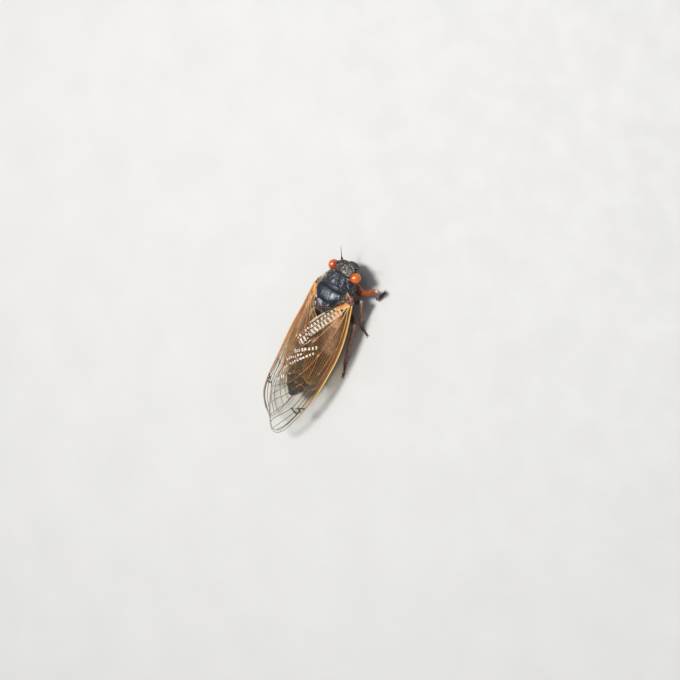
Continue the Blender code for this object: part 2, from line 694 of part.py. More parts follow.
def build_leg(pair, side, materials):
    (station, angle), hip, knee, ankle, toe = LEGS[pair, side]
    word = pair + ("_left" if side == LEFT else "_right")
    sections, squareness = LEG_BODIES[pair]
    root, out = skin_place(sections, station, math.radians(angle), side, squareness)
    hip, knee = point(*hip, side), point(*knee, side)
    ankle, toe = point(*ankle, ANKLE_HEIGHT, side), point(*toe, FOOT_RADIUS, side)
    radii = SEGMENT_RADII[pair]
    root += out * (GAP + radii["coxa"][0] * 0.8 * out.cross((hip - root).normalized()).length)
    room = 0
    for kind, start, end in (("coxa", root, hip), ("femur", hip, knee), ("tibia", knee, ankle)):
        start = start + (end - start).normalized() * room
        count = len(radii[kind]) - 1
        path = [start.lerp(end, i / count) for i in range(count + 1)]
        segment = limb(f"{kind}_{word}", path, radii[kind])
        entries = SPINES.get((pair, kind))
        if entries:
            made = spines(start, end, radii[kind][1], entries, side)
            segment = combined(kind, segment, made, "UNION")
        finish(f"{kind}_{word}", segment, materials["brown"])
        room = radii[kind][-1] + GAP
    level = FOOT_RADIUS * math.cos(math.pi / 8)
    start = ankle + (toe - ankle).normalized() * room
    path = [start, *(start.lerp(toe, t) for t in (0.4, 0.75)), toe]
    for place in path[1:]:
        place.z = level
    foot = limb("tarsus_" + word, path, FOOT_RADII, floor=0)
    way = (path[-1] - path[-2]).normalized()
    foot = combined("tarsus", foot, claws(toe, way), "UNION")
    finish("tarsus_" + word, foot, materials["dark"])


def main():
    for obj in list(bpy.data.objects):
        bpy.data.objects.remove(obj)
    collection = bpy.data.collections.new("cicada")
    bpy.context.scene.collection.children.link(collection)
    frame = bpy.data.objects.new("cicada_frame", None)
    collection.objects.link(frame)
    materials = {
        "black": make_material("black_shell", (0.012, 0.013, 0.016), 0.3),
        "eye": make_material("orange_eye", (0.85, 0.16, 0.02), 0.2),
        "brown": make_material("orange_brown_shell", (0.35, 0.1, 0.03), 0.35),
        "dark": make_material("dark_shell", (0.03, 0.02, 0.015), 0.4),
        "membrane": make_material("wing_membrane", (0.55, 0.38, 0.2), 0.2, alpha=0.5),
    }
    build_head(materials)
    build_pronotum(materials)
    build_mesonotum(materials)
    build_thorax(materials)
    build_abdomen(materials)
    build_wings(materials)
    for side, word in ((LEFT, "left"), (RIGHT, "right")):
        build_antenna(side, word, materials)
    for pair, side in LEGS:
        build_leg(pair, side, materials)


main()
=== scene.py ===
"""A periodical cicada at rest, as a life-size still model on a pale floor.

Every length is in millimetres and becomes metres when a piece is made. The head points to -Y
and the wing tips to +Y. The station s is the distance behind the front of the head, and out is
the distance from the middle plane.
"""

import math

import bmesh
import bpy
import numpy as np
from mathutils import Matrix, Vector


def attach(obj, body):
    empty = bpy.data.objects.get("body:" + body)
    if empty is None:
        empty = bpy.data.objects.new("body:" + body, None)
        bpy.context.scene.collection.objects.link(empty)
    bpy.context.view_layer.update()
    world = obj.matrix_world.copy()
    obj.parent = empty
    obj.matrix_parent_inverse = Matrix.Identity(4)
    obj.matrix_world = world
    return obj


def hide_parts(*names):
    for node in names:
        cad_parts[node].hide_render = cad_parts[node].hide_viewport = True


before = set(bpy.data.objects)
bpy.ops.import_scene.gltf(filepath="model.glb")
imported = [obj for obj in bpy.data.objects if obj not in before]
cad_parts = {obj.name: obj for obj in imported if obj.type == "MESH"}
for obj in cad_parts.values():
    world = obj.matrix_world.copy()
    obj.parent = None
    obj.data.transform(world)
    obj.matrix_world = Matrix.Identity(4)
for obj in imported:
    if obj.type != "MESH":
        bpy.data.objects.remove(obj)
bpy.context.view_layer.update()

MM = 0.001
NOSE_Y = -18.15
LEFT, RIGHT = 1, -1
SIDES = ((LEFT, "left"), (RIGHT, "right"))
RANDOM = np.random.default_rng(17)


# Camera, light and floor

CAMERA_AZIMUTH, CAMERA_HEIGHT, CAMERA_ROLL = (math.radians(a) for a in (-58.69, 57.40, 92.04))
CAMERA_DISTANCE = 0.31204
CAMERA_TARGET = Vector((-0.005165, -0.003609, 0.005))
LENS, SENSOR_WIDTH, CLIP_START = 85, 36, 0.001
# The key light's direction to the right, up and back of the camera
KEY_DIRECTION = (-0.62, 0.17, 0.77)
SKY_COLOUR, SKY_STRENGTH = (0.87, 0.92, 1.0, 1), 0.32
FLOOR_SIZE = 3


def camera_axes():
    flat = math.cos(CAMERA_HEIGHT)
    back = Vector((math.sin(CAMERA_AZIMUTH) * flat, -math.cos(CAMERA_AZIMUTH) * flat,
                   math.sin(CAMERA_HEIGHT)))
    level = Vector((0, 0, 1)).cross(back).normalized()
    up = back.cross(level) * math.cos(CAMERA_ROLL) + level * math.sin(CAMERA_ROLL)
    return up.cross(back), up, back


def add_object(name, data):
    obj = bpy.data.objects.new(name, data)
    bpy.context.scene.collection.objects.link(obj)
    return obj


def add_camera():
    data = bpy.data.cameras.new("Camera")
    data.lens, data.sensor_width, data.clip_start = LENS, SENSOR_WIDTH, CLIP_START
    camera = add_object("Camera", data)
    axes = camera_axes()
    place = Matrix(axes).transposed().to_4x4()
    place.translation = CAMERA_TARGET + axes[2] * CAMERA_DISTANCE
    camera.matrix_world = place
    bpy.context.scene.camera = camera


def add_light(name, direction, distance, size, power, colour):
    data = bpy.data.lights.new(name, "AREA")
    data.shape, data.size, data.energy, data.color = "DISK", size, power, colour
    light = add_object(name, data)
    direction = Vector(direction).normalized()
    light.location = direction * distance
    light.rotation_euler = direction.to_track_quat("Z", "Y").to_euler()


def add_studio():
    right, up, back = camera_axes()
    key = right * KEY_DIRECTION[0] + up * KEY_DIRECTION[1] + back * KEY_DIRECTION[2]
    add_light("Key", key, 0.5, 0.13, 2.9, (1, 0.98, 0.95))
    add_light("Panel", (0.15, -0.25, 1), 0.9, 0.8, 1.7, (0.93, 0.97, 1))
    world = bpy.data.worlds.new("Studio")
    world.use_nodes = True
    sky = world.node_tree.nodes["Background"].inputs
    sky["Color"].default_value, sky["Strength"].default_value = SKY_COLOUR, SKY_STRENGTH
    scene = bpy.context.scene
    scene.world = world
    scene.view_settings.view_transform = "Standard"
    scene.cycles.transparent_max_bounces = 32


# Curves, grids and tubes

CURVE_STEP = 0.2


def smooth_path(points, step):
    """A Catmull-Rom curve through the points, with a place about every step."""
    points = np.asarray(points, float)
    ends = np.vstack([2 * points[0] - points[1], points, 2 * points[-1] - points[-2]])
    path = [points[:1]]
    for a, b, c, d in zip(ends, ends[1:], ends[2:], ends[3:]):
        count = max(1, round(float(np.linalg.norm(c - b)) / step))
        t = (np.arange(1, count + 1) / count)[:, None]
        path.append(0.5 * (2 * b + (c - a) * t + (2 * a - 5 * b + 4 * c - d) * t ** 2
                           + (3 * b - a - 3 * c + d) * t ** 3))
    return np.vstack(path)


def ball(rows, columns):
    """A grid of places on a ball of radius 1, in rings from its bottom to its top."""
    tilts = np.linspace(-math.pi / 2, math.pi / 2, rows + 2)[1:-1, None]
    turns = turns_of(columns)[None]
    return np.stack([np.cos(tilts) * np.cos(turns), -np.cos(tilts) * np.sin(turns),
                     np.sin(tilts) + 0 * turns], axis=-1)


def curve(points, at):
    """The height, at each place, of the smooth curve through (place, height) points."""
    path = smooth_path(points, CURVE_STEP)
    return np.interp(at, path[:, 0], path[:, 1])


def unit(vectors):
    return vectors / np.maximum(np.linalg.norm(vectors, axis=-1, keepdims=True), 1e-9)


def turns_of(count):
    return np.arange(count) * 2 * math.pi / count


def bump_at(distance, width):
    """1 at no distance, and about 0 beyond twice the width."""
    return np.exp(-(distance / width) ** 2)


def ramp(value, low, high):
    """0 below low, 1 above high, straight between."""
    return np.clip((value - low) / (high - low), 0, 1)


def rising(value, low, high):
    """0 below low, 1 above high, smooth between."""
    t = ramp(value, low, high)
    return t * t * (3 - 2 * t)


def falling(value, low, high):
    """1 below low, 0 above high, smooth between."""
    return rising(-value, -high, -low)


def line_distance(places, path):
    """The distance of each place from a line through the points of a path, or from its only
    point."""
    places, path = np.asarray(places, float), np.asarray(path, float)
    nearest = np.linalg.norm(places - path[0], axis=-1)
    for a, b in zip(path, path[1:]):
        t = np.clip((places - a) @ (b - a) / ((b - a) @ (b - a)), 0, 1)
        nearest = np.minimum(nearest, np.linalg.norm(places - a - t[..., None] * (b - a), axis=-1))
    return nearest


LATTICE_SIZE = 32
LATTICE = np.random.default_rng(5).uniform(-1, 1, (LATTICE_SIZE,) * 3)


def noise(places, size, octaves=1):
    """Smooth random values from -1 to 1 at each place, with features of about one size."""
    total, weight = 0.0, 1.0
    for octave in range(octaves):
        spots = np.asarray(places, float) / size * 2 ** octave + 7.3 * octave
        low = np.floor(spots).astype(int)
        t = spots - low
        t = t * t * (3 - 2 * t)
        value = 0.0
        for corner in np.ndindex(2, 2, 2):
            weights = np.prod(np.where(np.array(corner), t, 1 - t), axis=-1)
            index = (low + corner) % LATTICE_SIZE
            value = value + weights * LATTICE[index[..., 0], index[..., 1], index[..., 2]]
        total = total + weight * value
        weight *= 0.5
    return total


def grid_faces(rows, columns, closed=False, start=0, flip=False):
    """The quads of a grid of places, kept row by row."""
    row, column = np.meshgrid(np.arange(rows - 1), np.arange(columns - (not closed)),
                              indexing="ij")
    after = (column + 1) % columns
    quads = np.stack([row * columns + column, row * columns + after,
                      (row + 1) * columns + after, (row + 1) * columns + column], axis=-1)
    quads = quads.reshape(-1, 4) + start
    return quads[:, ::-1] if flip else quads


def tube_faces(rows, columns):
    """Faces of a grid of rings, closed by a fan round each of the two places after it."""
    ring = np.arange(columns)
    after, last = (ring + 1) % columns, (rows - 1) * columns
    centre = np.full(columns, rows * columns)
    return [grid_faces(rows, columns, closed=True, flip=True),
            np.stack([ring, after, centre], axis=1),
            np.stack([after + last, ring + last, centre + 1], axis=1)]


class Form:
    """Places, faces and values gathered for one piece."""

    def __init__(self):
        self.places, self.faces, self.skins, self.values, self.unwrap = [], [], [], [], []
        self.count = 0

    def add(self, places, faces, skin=0, **values):
        places = np.asarray(places, float).reshape(-1, 3)
        for group in faces:
            self.faces.append(np.asarray(group, int) + self.count)
            self.skins.append(np.full(len(group), skin))
        self.places.append(places)
        self.values.append((len(places), values))
        self.count += len(places)

    def mesh(self, name):
        mesh = bpy.data.meshes.new(name)
        places = np.concatenate(self.places) * MM
        corners = np.concatenate([f.ravel() for f in self.faces])
        sizes = np.concatenate([np.full(len(f), f.shape[1]) for f in self.faces])
        mesh.vertices.add(len(places))
        mesh.vertices.foreach_set("co", places.ravel())
        mesh.loops.add(len(corners))
        mesh.loops.foreach_set("vertex_index", corners)
        mesh.polygons.add(len(sizes))
        mesh.polygons.foreach_set("loop_start", np.concatenate([[0], np.cumsum(sizes)[:-1]]))
        mesh.update(calc_edges=True)
        mesh.validate()
        mesh.shade_smooth()
        mesh.polygons.foreach_set("material_index", np.concatenate(self.skins))
        for key in sorted({key for _, values in self.values for key in values}):
            column = [np.broadcast_to(np.asarray(values.get(key, 0.0), float).ravel(), n)
                      for n, values in self.values]
            layer = mesh.attributes.new(key, "FLOAT", "POINT")
            layer.data.foreach_set("value", np.concatenate(column))
        if self.unwrap:
            layer = mesh.uv_layers.new(name="OFBake")
            layer.data.foreach_set("uv", np.concatenate(self.unwrap)[corners].ravel())
        return mesh

    def piece(self, name, finishes, slot, *nodes):
        """Makes the piece, which rides on the body and stands for the nodes."""
        mesh = self.mesh(name)
        for finish in finishes:
            mesh.materials.append(finish)
        obj = add_object(name, mesh)
        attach(obj, "root")
        if nodes:
            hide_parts(*nodes)


def path_frames(path):
    """Two directions across a path at each place, turning as little as they can."""
    along = unit(np.gradient(path, axis=0))
    way = np.array([0.0, 0.0, 1.0]) if abs(along[0][2]) < 0.9 else np.array([1.0, 0.0, 0.0])
    ups = []
    for direction in along:
        way = unit(way - direction * (way @ direction))
        ups.append(way)
    ups = np.array(ups)
    return np.cross(along, ups), ups


# Distance from the end and radius of the rings that round off a tube, in its end radius
WIDE_CAP, NARROW_CAP, NARROW_RADIUS = [(0.33, 0.75), (0.51, 0.35)], [(0.36, 0.5)], 0.05


def tube(path, radii, sides=12, flat=1.0, lift=None):
    """A round or oval tube along a path, with domed ends. Gives places, faces and the share of
    the way along it for each place. The radii are one for each place, or (share, radius)
    points. lift moves the skin out, given (t, turn) grids."""
    if not isinstance(radii, np.ndarray):
        radii = np.interp(np.linspace(0, 1, len(path)), *zip(*radii))
    reach = np.concatenate([[0], np.cumsum(np.linalg.norm(np.diff(path, axis=0), axis=1))])
    share = reach / reach[-1]
    for _ in range(2):
        path, radii, share = path[::-1], radii[::-1], share[::-1]
        end, way = radii[-1], unit(path[-1] - path[-2])
        cap = WIDE_CAP if end > NARROW_RADIUS else NARROW_CAP
        path = np.vstack([path] + [path[-1] + way * end * distance for distance, _ in cap])
        radii = np.append(radii, [end * radius for _, radius in cap])
        share = np.append(share, [share[-1]] * len(cap))
    side, up = path_frames(path)
    t, turns = np.meshgrid(share, turns_of(sides), indexing="ij")
    size = np.repeat(radii[:, None], sides, axis=1)
    if lift is not None:
        size = size + lift(t, turns) * np.minimum(1, size / radii.max() * 1.5)
    rings = (path[:, None] + side[:, None] * (np.cos(turns) * size)[..., None]
             + up[:, None] * (np.sin(turns) * size * flat)[..., None])
    places = np.vstack([rings.reshape(-1, 3), path[:1], path[-1:]])
    return places, tube_faces(len(path), sides), np.concatenate([t.ravel(), [0, 1]])


def add_tube(form, path, radii, sides=12, lift=None, skin=0, lowest=-math.inf, **values):
    """Adds a tube. A value is a number, or a function of the share of the way along."""
    places, faces, t = tube(path, radii, sides, lift=lift)
    places[:, 2] = np.maximum(places[:, 2], lowest)
    form.add(places, faces, skin, **{key: value(t) if callable(value) else value
                                     for key, value in values.items()})
    return places


def point(out, station, height, side=LEFT):
    return np.array([side * out, NOSE_Y + station, height], float)


def line_of(places, side=LEFT, step=0.06):
    """A smooth line through places (out, station, height) on one side."""
    return smooth_path([point(*place, side) for place in places], step)


# Materials

class Finish:
    """A material built from nodes. Sizes are in millimetres."""

    def __init__(self, name):
        self.material = bpy.data.materials.new(name)
        self.material.use_nodes = True
        self.tree = self.material.node_tree
        self.tree.nodes.clear()
        self.output = self.node("OutputMaterial")
        place = self.node("TexCoord").outputs["Object"]
        self.place = self.node("VectorMath", {0: place, 3: 1 / MM}, operation="SCALE").outputs[0]

    def node(self, kind, inputs=None, **settings):
        node = self.tree.nodes.new("ShaderNode" + kind)
        for key, value in settings.items():
            setattr(node, key, value)
        for key, value in (inputs or {}).items():
            if isinstance(value, bpy.types.NodeSocket):
                self.tree.links.new(value, node.inputs[key])
            else:
                node.inputs[key].default_value = value
        return node

    def value(self, name):
        return self.node("Attribute", attribute_name=name).outputs["Fac"]

    def noise(self, size, detail, roughness=0.5):
        return self.node("TexNoise", {"Vector": self.place, "Scale": 1 / size, "Detail": detail,
                                      "Roughness": roughness}).outputs["Fac"]

    def cells(self, size, **settings):
        return self.node("TexVoronoi", {"Vector": self.place, "Scale": 1 / size},
                         **settings).outputs["Distance"]

    def math(self, operation, first, second=0.0, third=0.0):
        return self.node("Math", {0: first, 1: second, 2: third},
                         operation=operation).outputs[0]

    def times(self, first, second):
        return self.math("MULTIPLY", first, second)

    def range(self, value, low, high, start=0.0, end=1.0):
        return self.node("MapRange", {"Value": value, "From Min": low, "From Max": high,
                                      "To Min": start, "To Max": end},
                         interpolation_type="SMOOTHSTEP").outputs["Result"]

    def patches(self, size, detail, start=0.0, end=1.0, low=0.3, high=0.7):
        """Soft patches: start where the noise is below low, end where it is above high."""
        return self.range(self.noise(size, detail), low, high, start, end)

    def mix(self, factor, first, second):
        first, second = (c if isinstance(c, bpy.types.NodeSocket) else (*c, 1)
                         for c in (first, second))
        return self.node("Mix", {0: factor, 6: first, 7: second}, data_type="RGBA").outputs[2]

    def layers(self, base, **colours):
        """The base colour, with each other colour over it by the value of that name."""
        for name, colour in colours.items():
            base = self.mix(self.value(name), base, colour)
        return base

    def bump(self, height, distance):
        return self.node("Bump", {"Height": height, "Distance": distance * MM}).outputs["Normal"]

    def shell(self, colour, roughness, normal=None, **inputs):
        sockets = {"Base Color": colour, "Roughness": roughness}
        if normal is not None:
            sockets["Normal"] = normal
        sockets.update({key.replace("_", " "): value for key, value in inputs.items()})
        return self.node("BsdfPrincipled", sockets).outputs[0]

    def finish(self, shader):
        self.tree.links.new(shader, self.output.inputs["Surface"])
        return self.material


def black_shell(name, brown=0.2, dust=0.3, gloss=0.34, pit=0.09, tint=(0.78, 0.87, 1.0)):
    """Black insect shell: brown in places, a thin grey bloom that is partly real down and partly
    painted sky sheen, and fine pits and wrinkles.
    """
    f = Finish(name)
    patches = f.patches(0.9, 4, low=0.45, high=0.75)
    base = f.mix(f.times(patches, brown), (0.009, 0.010, 0.013), (0.06, 0.026, 0.012))
    # The grey bloom is partly real down and partly painted sky sheen, a bluish-grey reflection put
    # into the colour.
    bloom_and_sheen = f.times(f.value("dust"), f.patches(0.25, 4, high=0.75))
    base = f.mix(f.times(bloom_and_sheen, dust), base, (0.115, 0.12, 0.125))
    base = f.layers(base, rust=f.mix(f.noise(0.3, 3), (0.50, 0.13, 0.02), (0.30, 0.07, 0.015)),
                    pale=f.mix(f.noise(0.2, 3), (0.55, 0.42, 0.30), (0.42, 0.27, 0.15)))
    wrinkles = f.times(f.noise(0.16, 5, roughness=0.6), 0.8)
    height = f.math("ADD", f.times(f.cells(pit, feature="SMOOTH_F1"), 0.5), wrinkles)
    return f.finish(f.shell(base, f.patches(0.35, 4, gloss, gloss + 0.18, high=0.8),
                            f.bump(height, 0.012), Coat_Weight=0.12, Coat_Roughness=0.3,
                            Specular_IOR_Level=0.6, Specular_Tint=(*tint, 1), Sheen_Weight=0.1,
                            Sheen_Roughness=0.4, Sheen_Tint=(*tint, 1)))


def leg_shell():
    """Orange-brown leg shell, darker towards value dark, pale at value pale."""
    f = Finish("leg_shell")
    base = f.mix(f.patches(0.5, 4), (0.38, 0.088, 0.018), (0.21, 0.046, 0.011))
    base = f.mix(f.times(f.value("dark"), 0.97), base, (0.016, 0.010, 0.008))
    base = f.layers(base, pale=(0.62, 0.52, 0.40))
    height = f.math("ADD", f.cells(0.07, feature="SMOOTH_F1"), f.noise(0.1, 4))
    return f.finish(f.shell(base, f.patches(0.2, 4, 0.14, 0.26, high=0.8), f.bump(height, 0.008),
                            Coat_Weight=0.5, Coat_Roughness=0.1))


def eye_finish():
    """Orange-red eye with fine facets, with painted shade: deeper at its rim, where it meets the
    head, and browner behind.
    """
    f = Finish("eye_facets")
    base = f.mix(f.patches(0.5, 3), (0.83, 0.195, 0.010), (0.66, 0.125, 0.008))
    # rim is painted shade at the eye's edge and back; spot is the dark spot, with painted shade over
    # the whole left eye.
    base = f.layers(base, rim=(0.36, 0.045, 0.012), spot=(0.22, 0.03, 0.012))
    return f.finish(f.shell(base, f.patches(0.1, 2, 0.16, 0.28), f.bump(f.cells(0.04), 0.004),
                            Coat_Weight=0.6, Coat_Roughness=0.06, Subsurface_Weight=0.15,
                            Subsurface_Radius=(0.0006, 0.0002, 0.0001), Subsurface_Scale=1.0))


def membrane_finish():
    """Clear wing membrane: amber and cloudier where value veil is high, glossy, finely wrinkled.
    Light crosses two faces of it, so each face takes half of the colour."""
    f = Finish("wing_clear")
    veil = f.times(f.value("veil"), f.patches(0.7, 4, 0.7, 1.15, low=0.25, high=0.75))
    ripple = f.bump(f.math("ADD", f.noise(0.35, 3), f.times(f.noise(0.09, 2), 0.12)), 0.010)
    colour = f.mix(veil, (0.985, 0.982, 0.965), (0.78, 0.66, 0.50))
    clear = f.node("BsdfTransparent", {"Color": colour}).outputs[0]
    shine = f.node("BsdfGlossy", {"Color": (1, 0.94, 0.96, 1), "Roughness": 0.16,
                                  "Normal": ripple}).outputs[0]
    facing = f.node("LayerWeight", {"Blend": 0.5, "Normal": ripple}).outputs["Facing"]
    gloss = f.math("MULTIPLY_ADD", f.math("POWER", facing, 5.0), 0.5, 0.0085)
    glass = f.node("MixShader", {0: gloss, 1: clear, 2: shine}).outputs[0]
    orange = f.mix(f.noise(0.5, 3), (0.72, 0.25, 0.035), (0.55, 0.18, 0.03))
    cream = f.mix(f.patches(0.45, 3, low=0.35, high=0.65), (0.76, 0.42, 0.25), (0.50, 0.24, 0.12))
    tint = f.mix(f.patches(0.8, 4), (0.30, 0.205, 0.115), (0.20, 0.13, 0.07))
    # black is the dark W mark, and painted shadow near the wing's root.
    tint = f.layers(tint, orange=orange, cream=cream, black=(0.012, 0.018, 0.022))
    skin = f.shell(tint, f.patches(0.3, 3, 0.5, 0.62), ripple, Specular_IOR_Level=0.3)
    cover = f.math("MULTIPLY_ADD", veil, 0.2, 0.02)
    cover = f.math("MAXIMUM", cover, f.math("MAXIMUM", f.value("orange"), f.value("black")))
    creamy = f.times(f.value("cream"), f.patches(0.3, 3, 0.5, 1, high=0.6))
    cover = f.math("MAXIMUM", cover, creamy)
    return f.finish(f.node("MixShader", {0: cover, 1: glass, 2: skin}).outputs[0])


def vein_finish():
    """Wing vein: brown-orange, yellow at value yellow, and green-black at value dark."""
    f = Finish("wing_vein")
    uneven = f.times(f.math("SUBTRACT", f.noise(0.8, 2), 0.5), 0.3)
    dark = f.math("ADD", f.value("dark"), uneven)
    base = f.mix(f.patches(0.6, 3), (0.46, 0.165, 0.032), (0.27, 0.09, 0.022))
    base = f.mix(f.range(f.value("yellow"), 0.1, 0.9), base, (0.72, 0.46, 0.13))
    base = f.mix(f.range(dark, 0.3, 0.7), base, (0.020, 0.024, 0.014))
    return f.finish(f.shell(base, f.patches(0.2, 3, 0.28, 0.45), f.bump(f.noise(0.07, 3), 0.01),
                            Coat_Weight=0.2, Coat_Roughness=0.2))


def joint_finish():
    """Soft mauve-brown skin at the wing roots."""
    f = Finish("joint_skin")
    base = f.mix(f.patches(0.35, 4), (0.30, 0.14, 0.115), (0.15, 0.055, 0.04))
    base = f.layers(base, dark=(0.05, 0.02, 0.015))
    return f.finish(f.shell(base, f.patches(0.2, 3, 0.4, 0.6), f.bump(f.noise(0.12, 4), 0.03),
                            Sheen_Weight=0.15, Sheen_Roughness=0.4))


def hair_finish():
    """Silver-grey hair, browner in patches and tan at value tan."""
    f = Finish("silver_hair")
    base = f.mix(f.value("shade"), (0.27, 0.25, 0.20), (0.50, 0.48, 0.42))
    base = f.mix(f.patches(1.5, 2, 0, 0.5, low=0.4), base, (0.27, 0.20, 0.12))
    base = f.layers(base, tan=(0.44, 0.31, 0.17))
    return f.finish(f.shell(base, 0.5, Sheen_Weight=0.2, Sheen_Roughness=0.5))


def floor_finish():
    f = Finish("floor")
    base = f.mix(f.noise(14, 5), (0.50, 0.495, 0.48), (0.56, 0.555, 0.54))
    return f.finish(f.shell(base, f.patches(5, 3, 0.62, 0.75), f.bump(f.noise(0.5, 4), 0.02)))


def add_floor():
    bpy.ops.mesh.primitive_plane_add(size=FLOOR_SIZE)
    floor = bpy.context.object
    floor.name = "floor"
    floor.data.materials.append(floor_finish())


# Body shells

def out_and_station(grid):
    return abs(grid[..., 0]), grid[..., 1] - NOSE_Y


def oval(sections, stations, turns, waist=0.5, squareness=1.0):
    """A grid of places on a body, by station and by turn round it from its left side. Each
    section is (station, half width, top, bottom)."""
    half, top, bottom = (curve([(row[0], row[k]) for row in sections], stations)[:, None]
                         for k in (1, 2, 3))
    middle = bottom + (top - bottom) * waist
    c, s = np.cos(turns)[None], np.sin(turns)[None]
    x = np.sign(c) * abs(c) ** squareness * half
    reach = np.where(s > 0, top - middle, middle - bottom)
    z = middle + np.sign(s) * abs(s) ** squareness * reach
    y = np.broadcast_to((NOSE_Y + stations)[:, None], x.shape)
    return np.stack([x, y, z], axis=-1)


def skin_axes(grid):
    """Steps along and round a skin, and its outward direction."""
    along = np.gradient(grid, axis=0)
    round_ = (np.roll(grid, -1, axis=1) - np.roll(grid, 1, axis=1)) / 2
    return along, round_, unit(np.cross(along, round_))


def relief(grid, height):
    """The grid moved out along its own normals."""
    return grid + skin_axes(grid)[2] * height[..., None]


def ridges(places, rows):
    """Ridges, or grooves where the height is below 0, from rows (line, height, width)."""
    return sum(height * bump_at(line_distance(places, line), width) for line, height, width in rows)


def padded(values):
    """Values of a grid, with the mean of its first and of its last ring added."""
    return np.concatenate([values.ravel(), [values[0].mean(), values[-1].mean()]])


def add_shell(form, grid, skin=0, **values):
    """Adds a shell of rings, closed at both ends. A value is one number, or a grid of them."""
    places = np.vstack([grid.reshape(-1, 3), grid[0].mean(axis=0), grid[-1].mean(axis=0)])
    values = {key: padded(value) if np.ndim(value) else value for key, value in values.items()}
    form.add(places, tube_faces(*grid.shape[:2]), skin, **values)


def build_shell(name, node, finish, grid, **values):
    form = Form()
    add_shell(form, grid, **values)
    form.piece(name, [finish], "black_shell", node)
    return grid


EYE_RADIUS = 1.08
EYE_PLACE = (2.82, 2.2, 5.6)
HEAD_SECTIONS = [(0.24, 0.5, 5.75, 5.35), (0.3, 0.9, 5.9, 5.2), (0.6, 1.8, 6.1, 4.3),
                 (1.05, 2.4, 6.3, 3.4), (1.6, 2.75, 6.45, 2.9), (2.15, 2.85, 6.55, 2.75),
                 (2.55, 2.8, 6.55, 2.8), (3.1, 2.5, 6.3, 3.2)]
# Ridges and grooves of the skins: line of (out, station), height and width
HEAD_RIDGES = [([(0.5, 0.3), (1.2, 0.42), (1.75, 0.75), (2.1, 1.15)], 0.14, 0.13),
               ([(0.75, 0.9), (1.25, 1.5), (1.3, 2.3)], -0.08, 0.16)]
CROWN_HEIGHT = 4.6


def build_head(shell):
    stations = np.concatenate([np.linspace(0.24, 0.6, 16), np.linspace(0.62, 3.1, 60)])
    grid = oval(HEAD_SECTIONS, stations, turns_of(180), waist=0.6)
    out, s = out_and_station(grid)
    plan, crown = np.stack([out, s], axis=-1), grid[..., 2] > CROWN_HEIGHT
    height = 0.05 * noise(grid, 0.5, 3) + crown * ridges(plan, HEAD_RIDGES)
    height -= 0.07 * bump_at(out, 0.07) * crown * (s > 0.8)
    for side, _ in SIDES:
        gap = np.linalg.norm(grid - point(*EYE_PLACE, side), axis=-1) - EYE_RADIUS
        height += 0.10 * bump_at(gap - 0.1, 0.1)
    grid = relief(grid, height)
    dust = np.clip(0.55 + 0.6 * noise(grid, 0.7, 2), 0, 1) * np.where(out > 0.8, 1, 0.5)
    return build_shell("head_shell", "head", shell, grid, dust=dust)


OCELLI = [(0, 1.25, 6.36), (0.5, 1.75, 6.44), (-0.5, 1.75, 6.44)]
OCELLUS_RADIUS = 0.12
# Radius and height of the ring round a simple eye, in its radii
OCELLUS_RING = [(0.7, 0.1), (1.1, 0.3), (1.3, 0.35), (1.55, 0.15), (1.6, -0.5), (0.7, -0.7)]


def build_ocelli(eye, shell):
    """Three simple eyes on the crown, each a small dome in a raised dark ring."""
    turns = turns_of(16)
    flat = np.stack([np.cos(turns), np.sin(turns), 0 * turns], axis=-1)
    ring = np.array([flat * r + [0, 0, z] for r, z in OCELLUS_RING])
    dome = np.array([flat * math.cos(tilt) + [0, 0, math.sin(tilt) * 0.9]
                     for tilt in np.linspace(1.5, -1.2, 12)])
    form = Form()
    for place in OCELLI:
        add_shell(form, point(*place) + ring * OCELLUS_RADIUS, skin=1)
        add_shell(form, point(*place) + dome * OCELLUS_RADIUS, spot=0.75)
    form.piece("ocelli", [eye, shell], "orange_eye")


CLYPEUS_CENTRE = (0.0, 1.2, 3.7)
CLYPEUS_RADII = (1.3, 1.05, 1.55)
CLYPEUS_RIDGES = 9


def build_clypeus(shell):
    """The bulging face plate, with ridges across it and a groove down the middle."""
    grid = ball(108, 96)
    tilts, turns = np.arcsin(grid[..., 2]), turns_of(96)
    grid = grid * CLYPEUS_RADII + point(*CLYPEUS_CENTRE)
    wave = np.cos(tilts * CLYPEUS_RIDGES * 2 + 0.8 * np.abs(np.cos(turns)))
    middle = bump_at(grid[..., 0], 0.12)
    height = 0.05 * wave * (1 - middle) - 0.08 * middle + 0.015 * noise(grid, 0.2, 2)
    rust = np.clip(-wave * 0.6, 0, 0.3) * (1 - middle)
    build_shell("face_plate", "postclypeus", shell, relief(grid, height), dust=0.3, rust=rust)


# EYE_GAZE and EYE_REAR aim the painted shade at the eye's edge and back; EYE_SPOT places its dark
# spot.
EYE_GAZE, EYE_REAR, EYE_SPOT = (1, -0.1, 0.15), (0.2, 1, -0.1), (0.75, -0.35, 0.55)
# Painted shade: the whole left eye is darker, as if it stood in shade.
EYE_PAINTED_SHADE = {LEFT: 0.22, RIGHT: 0}
FACET_RISE = 1.012


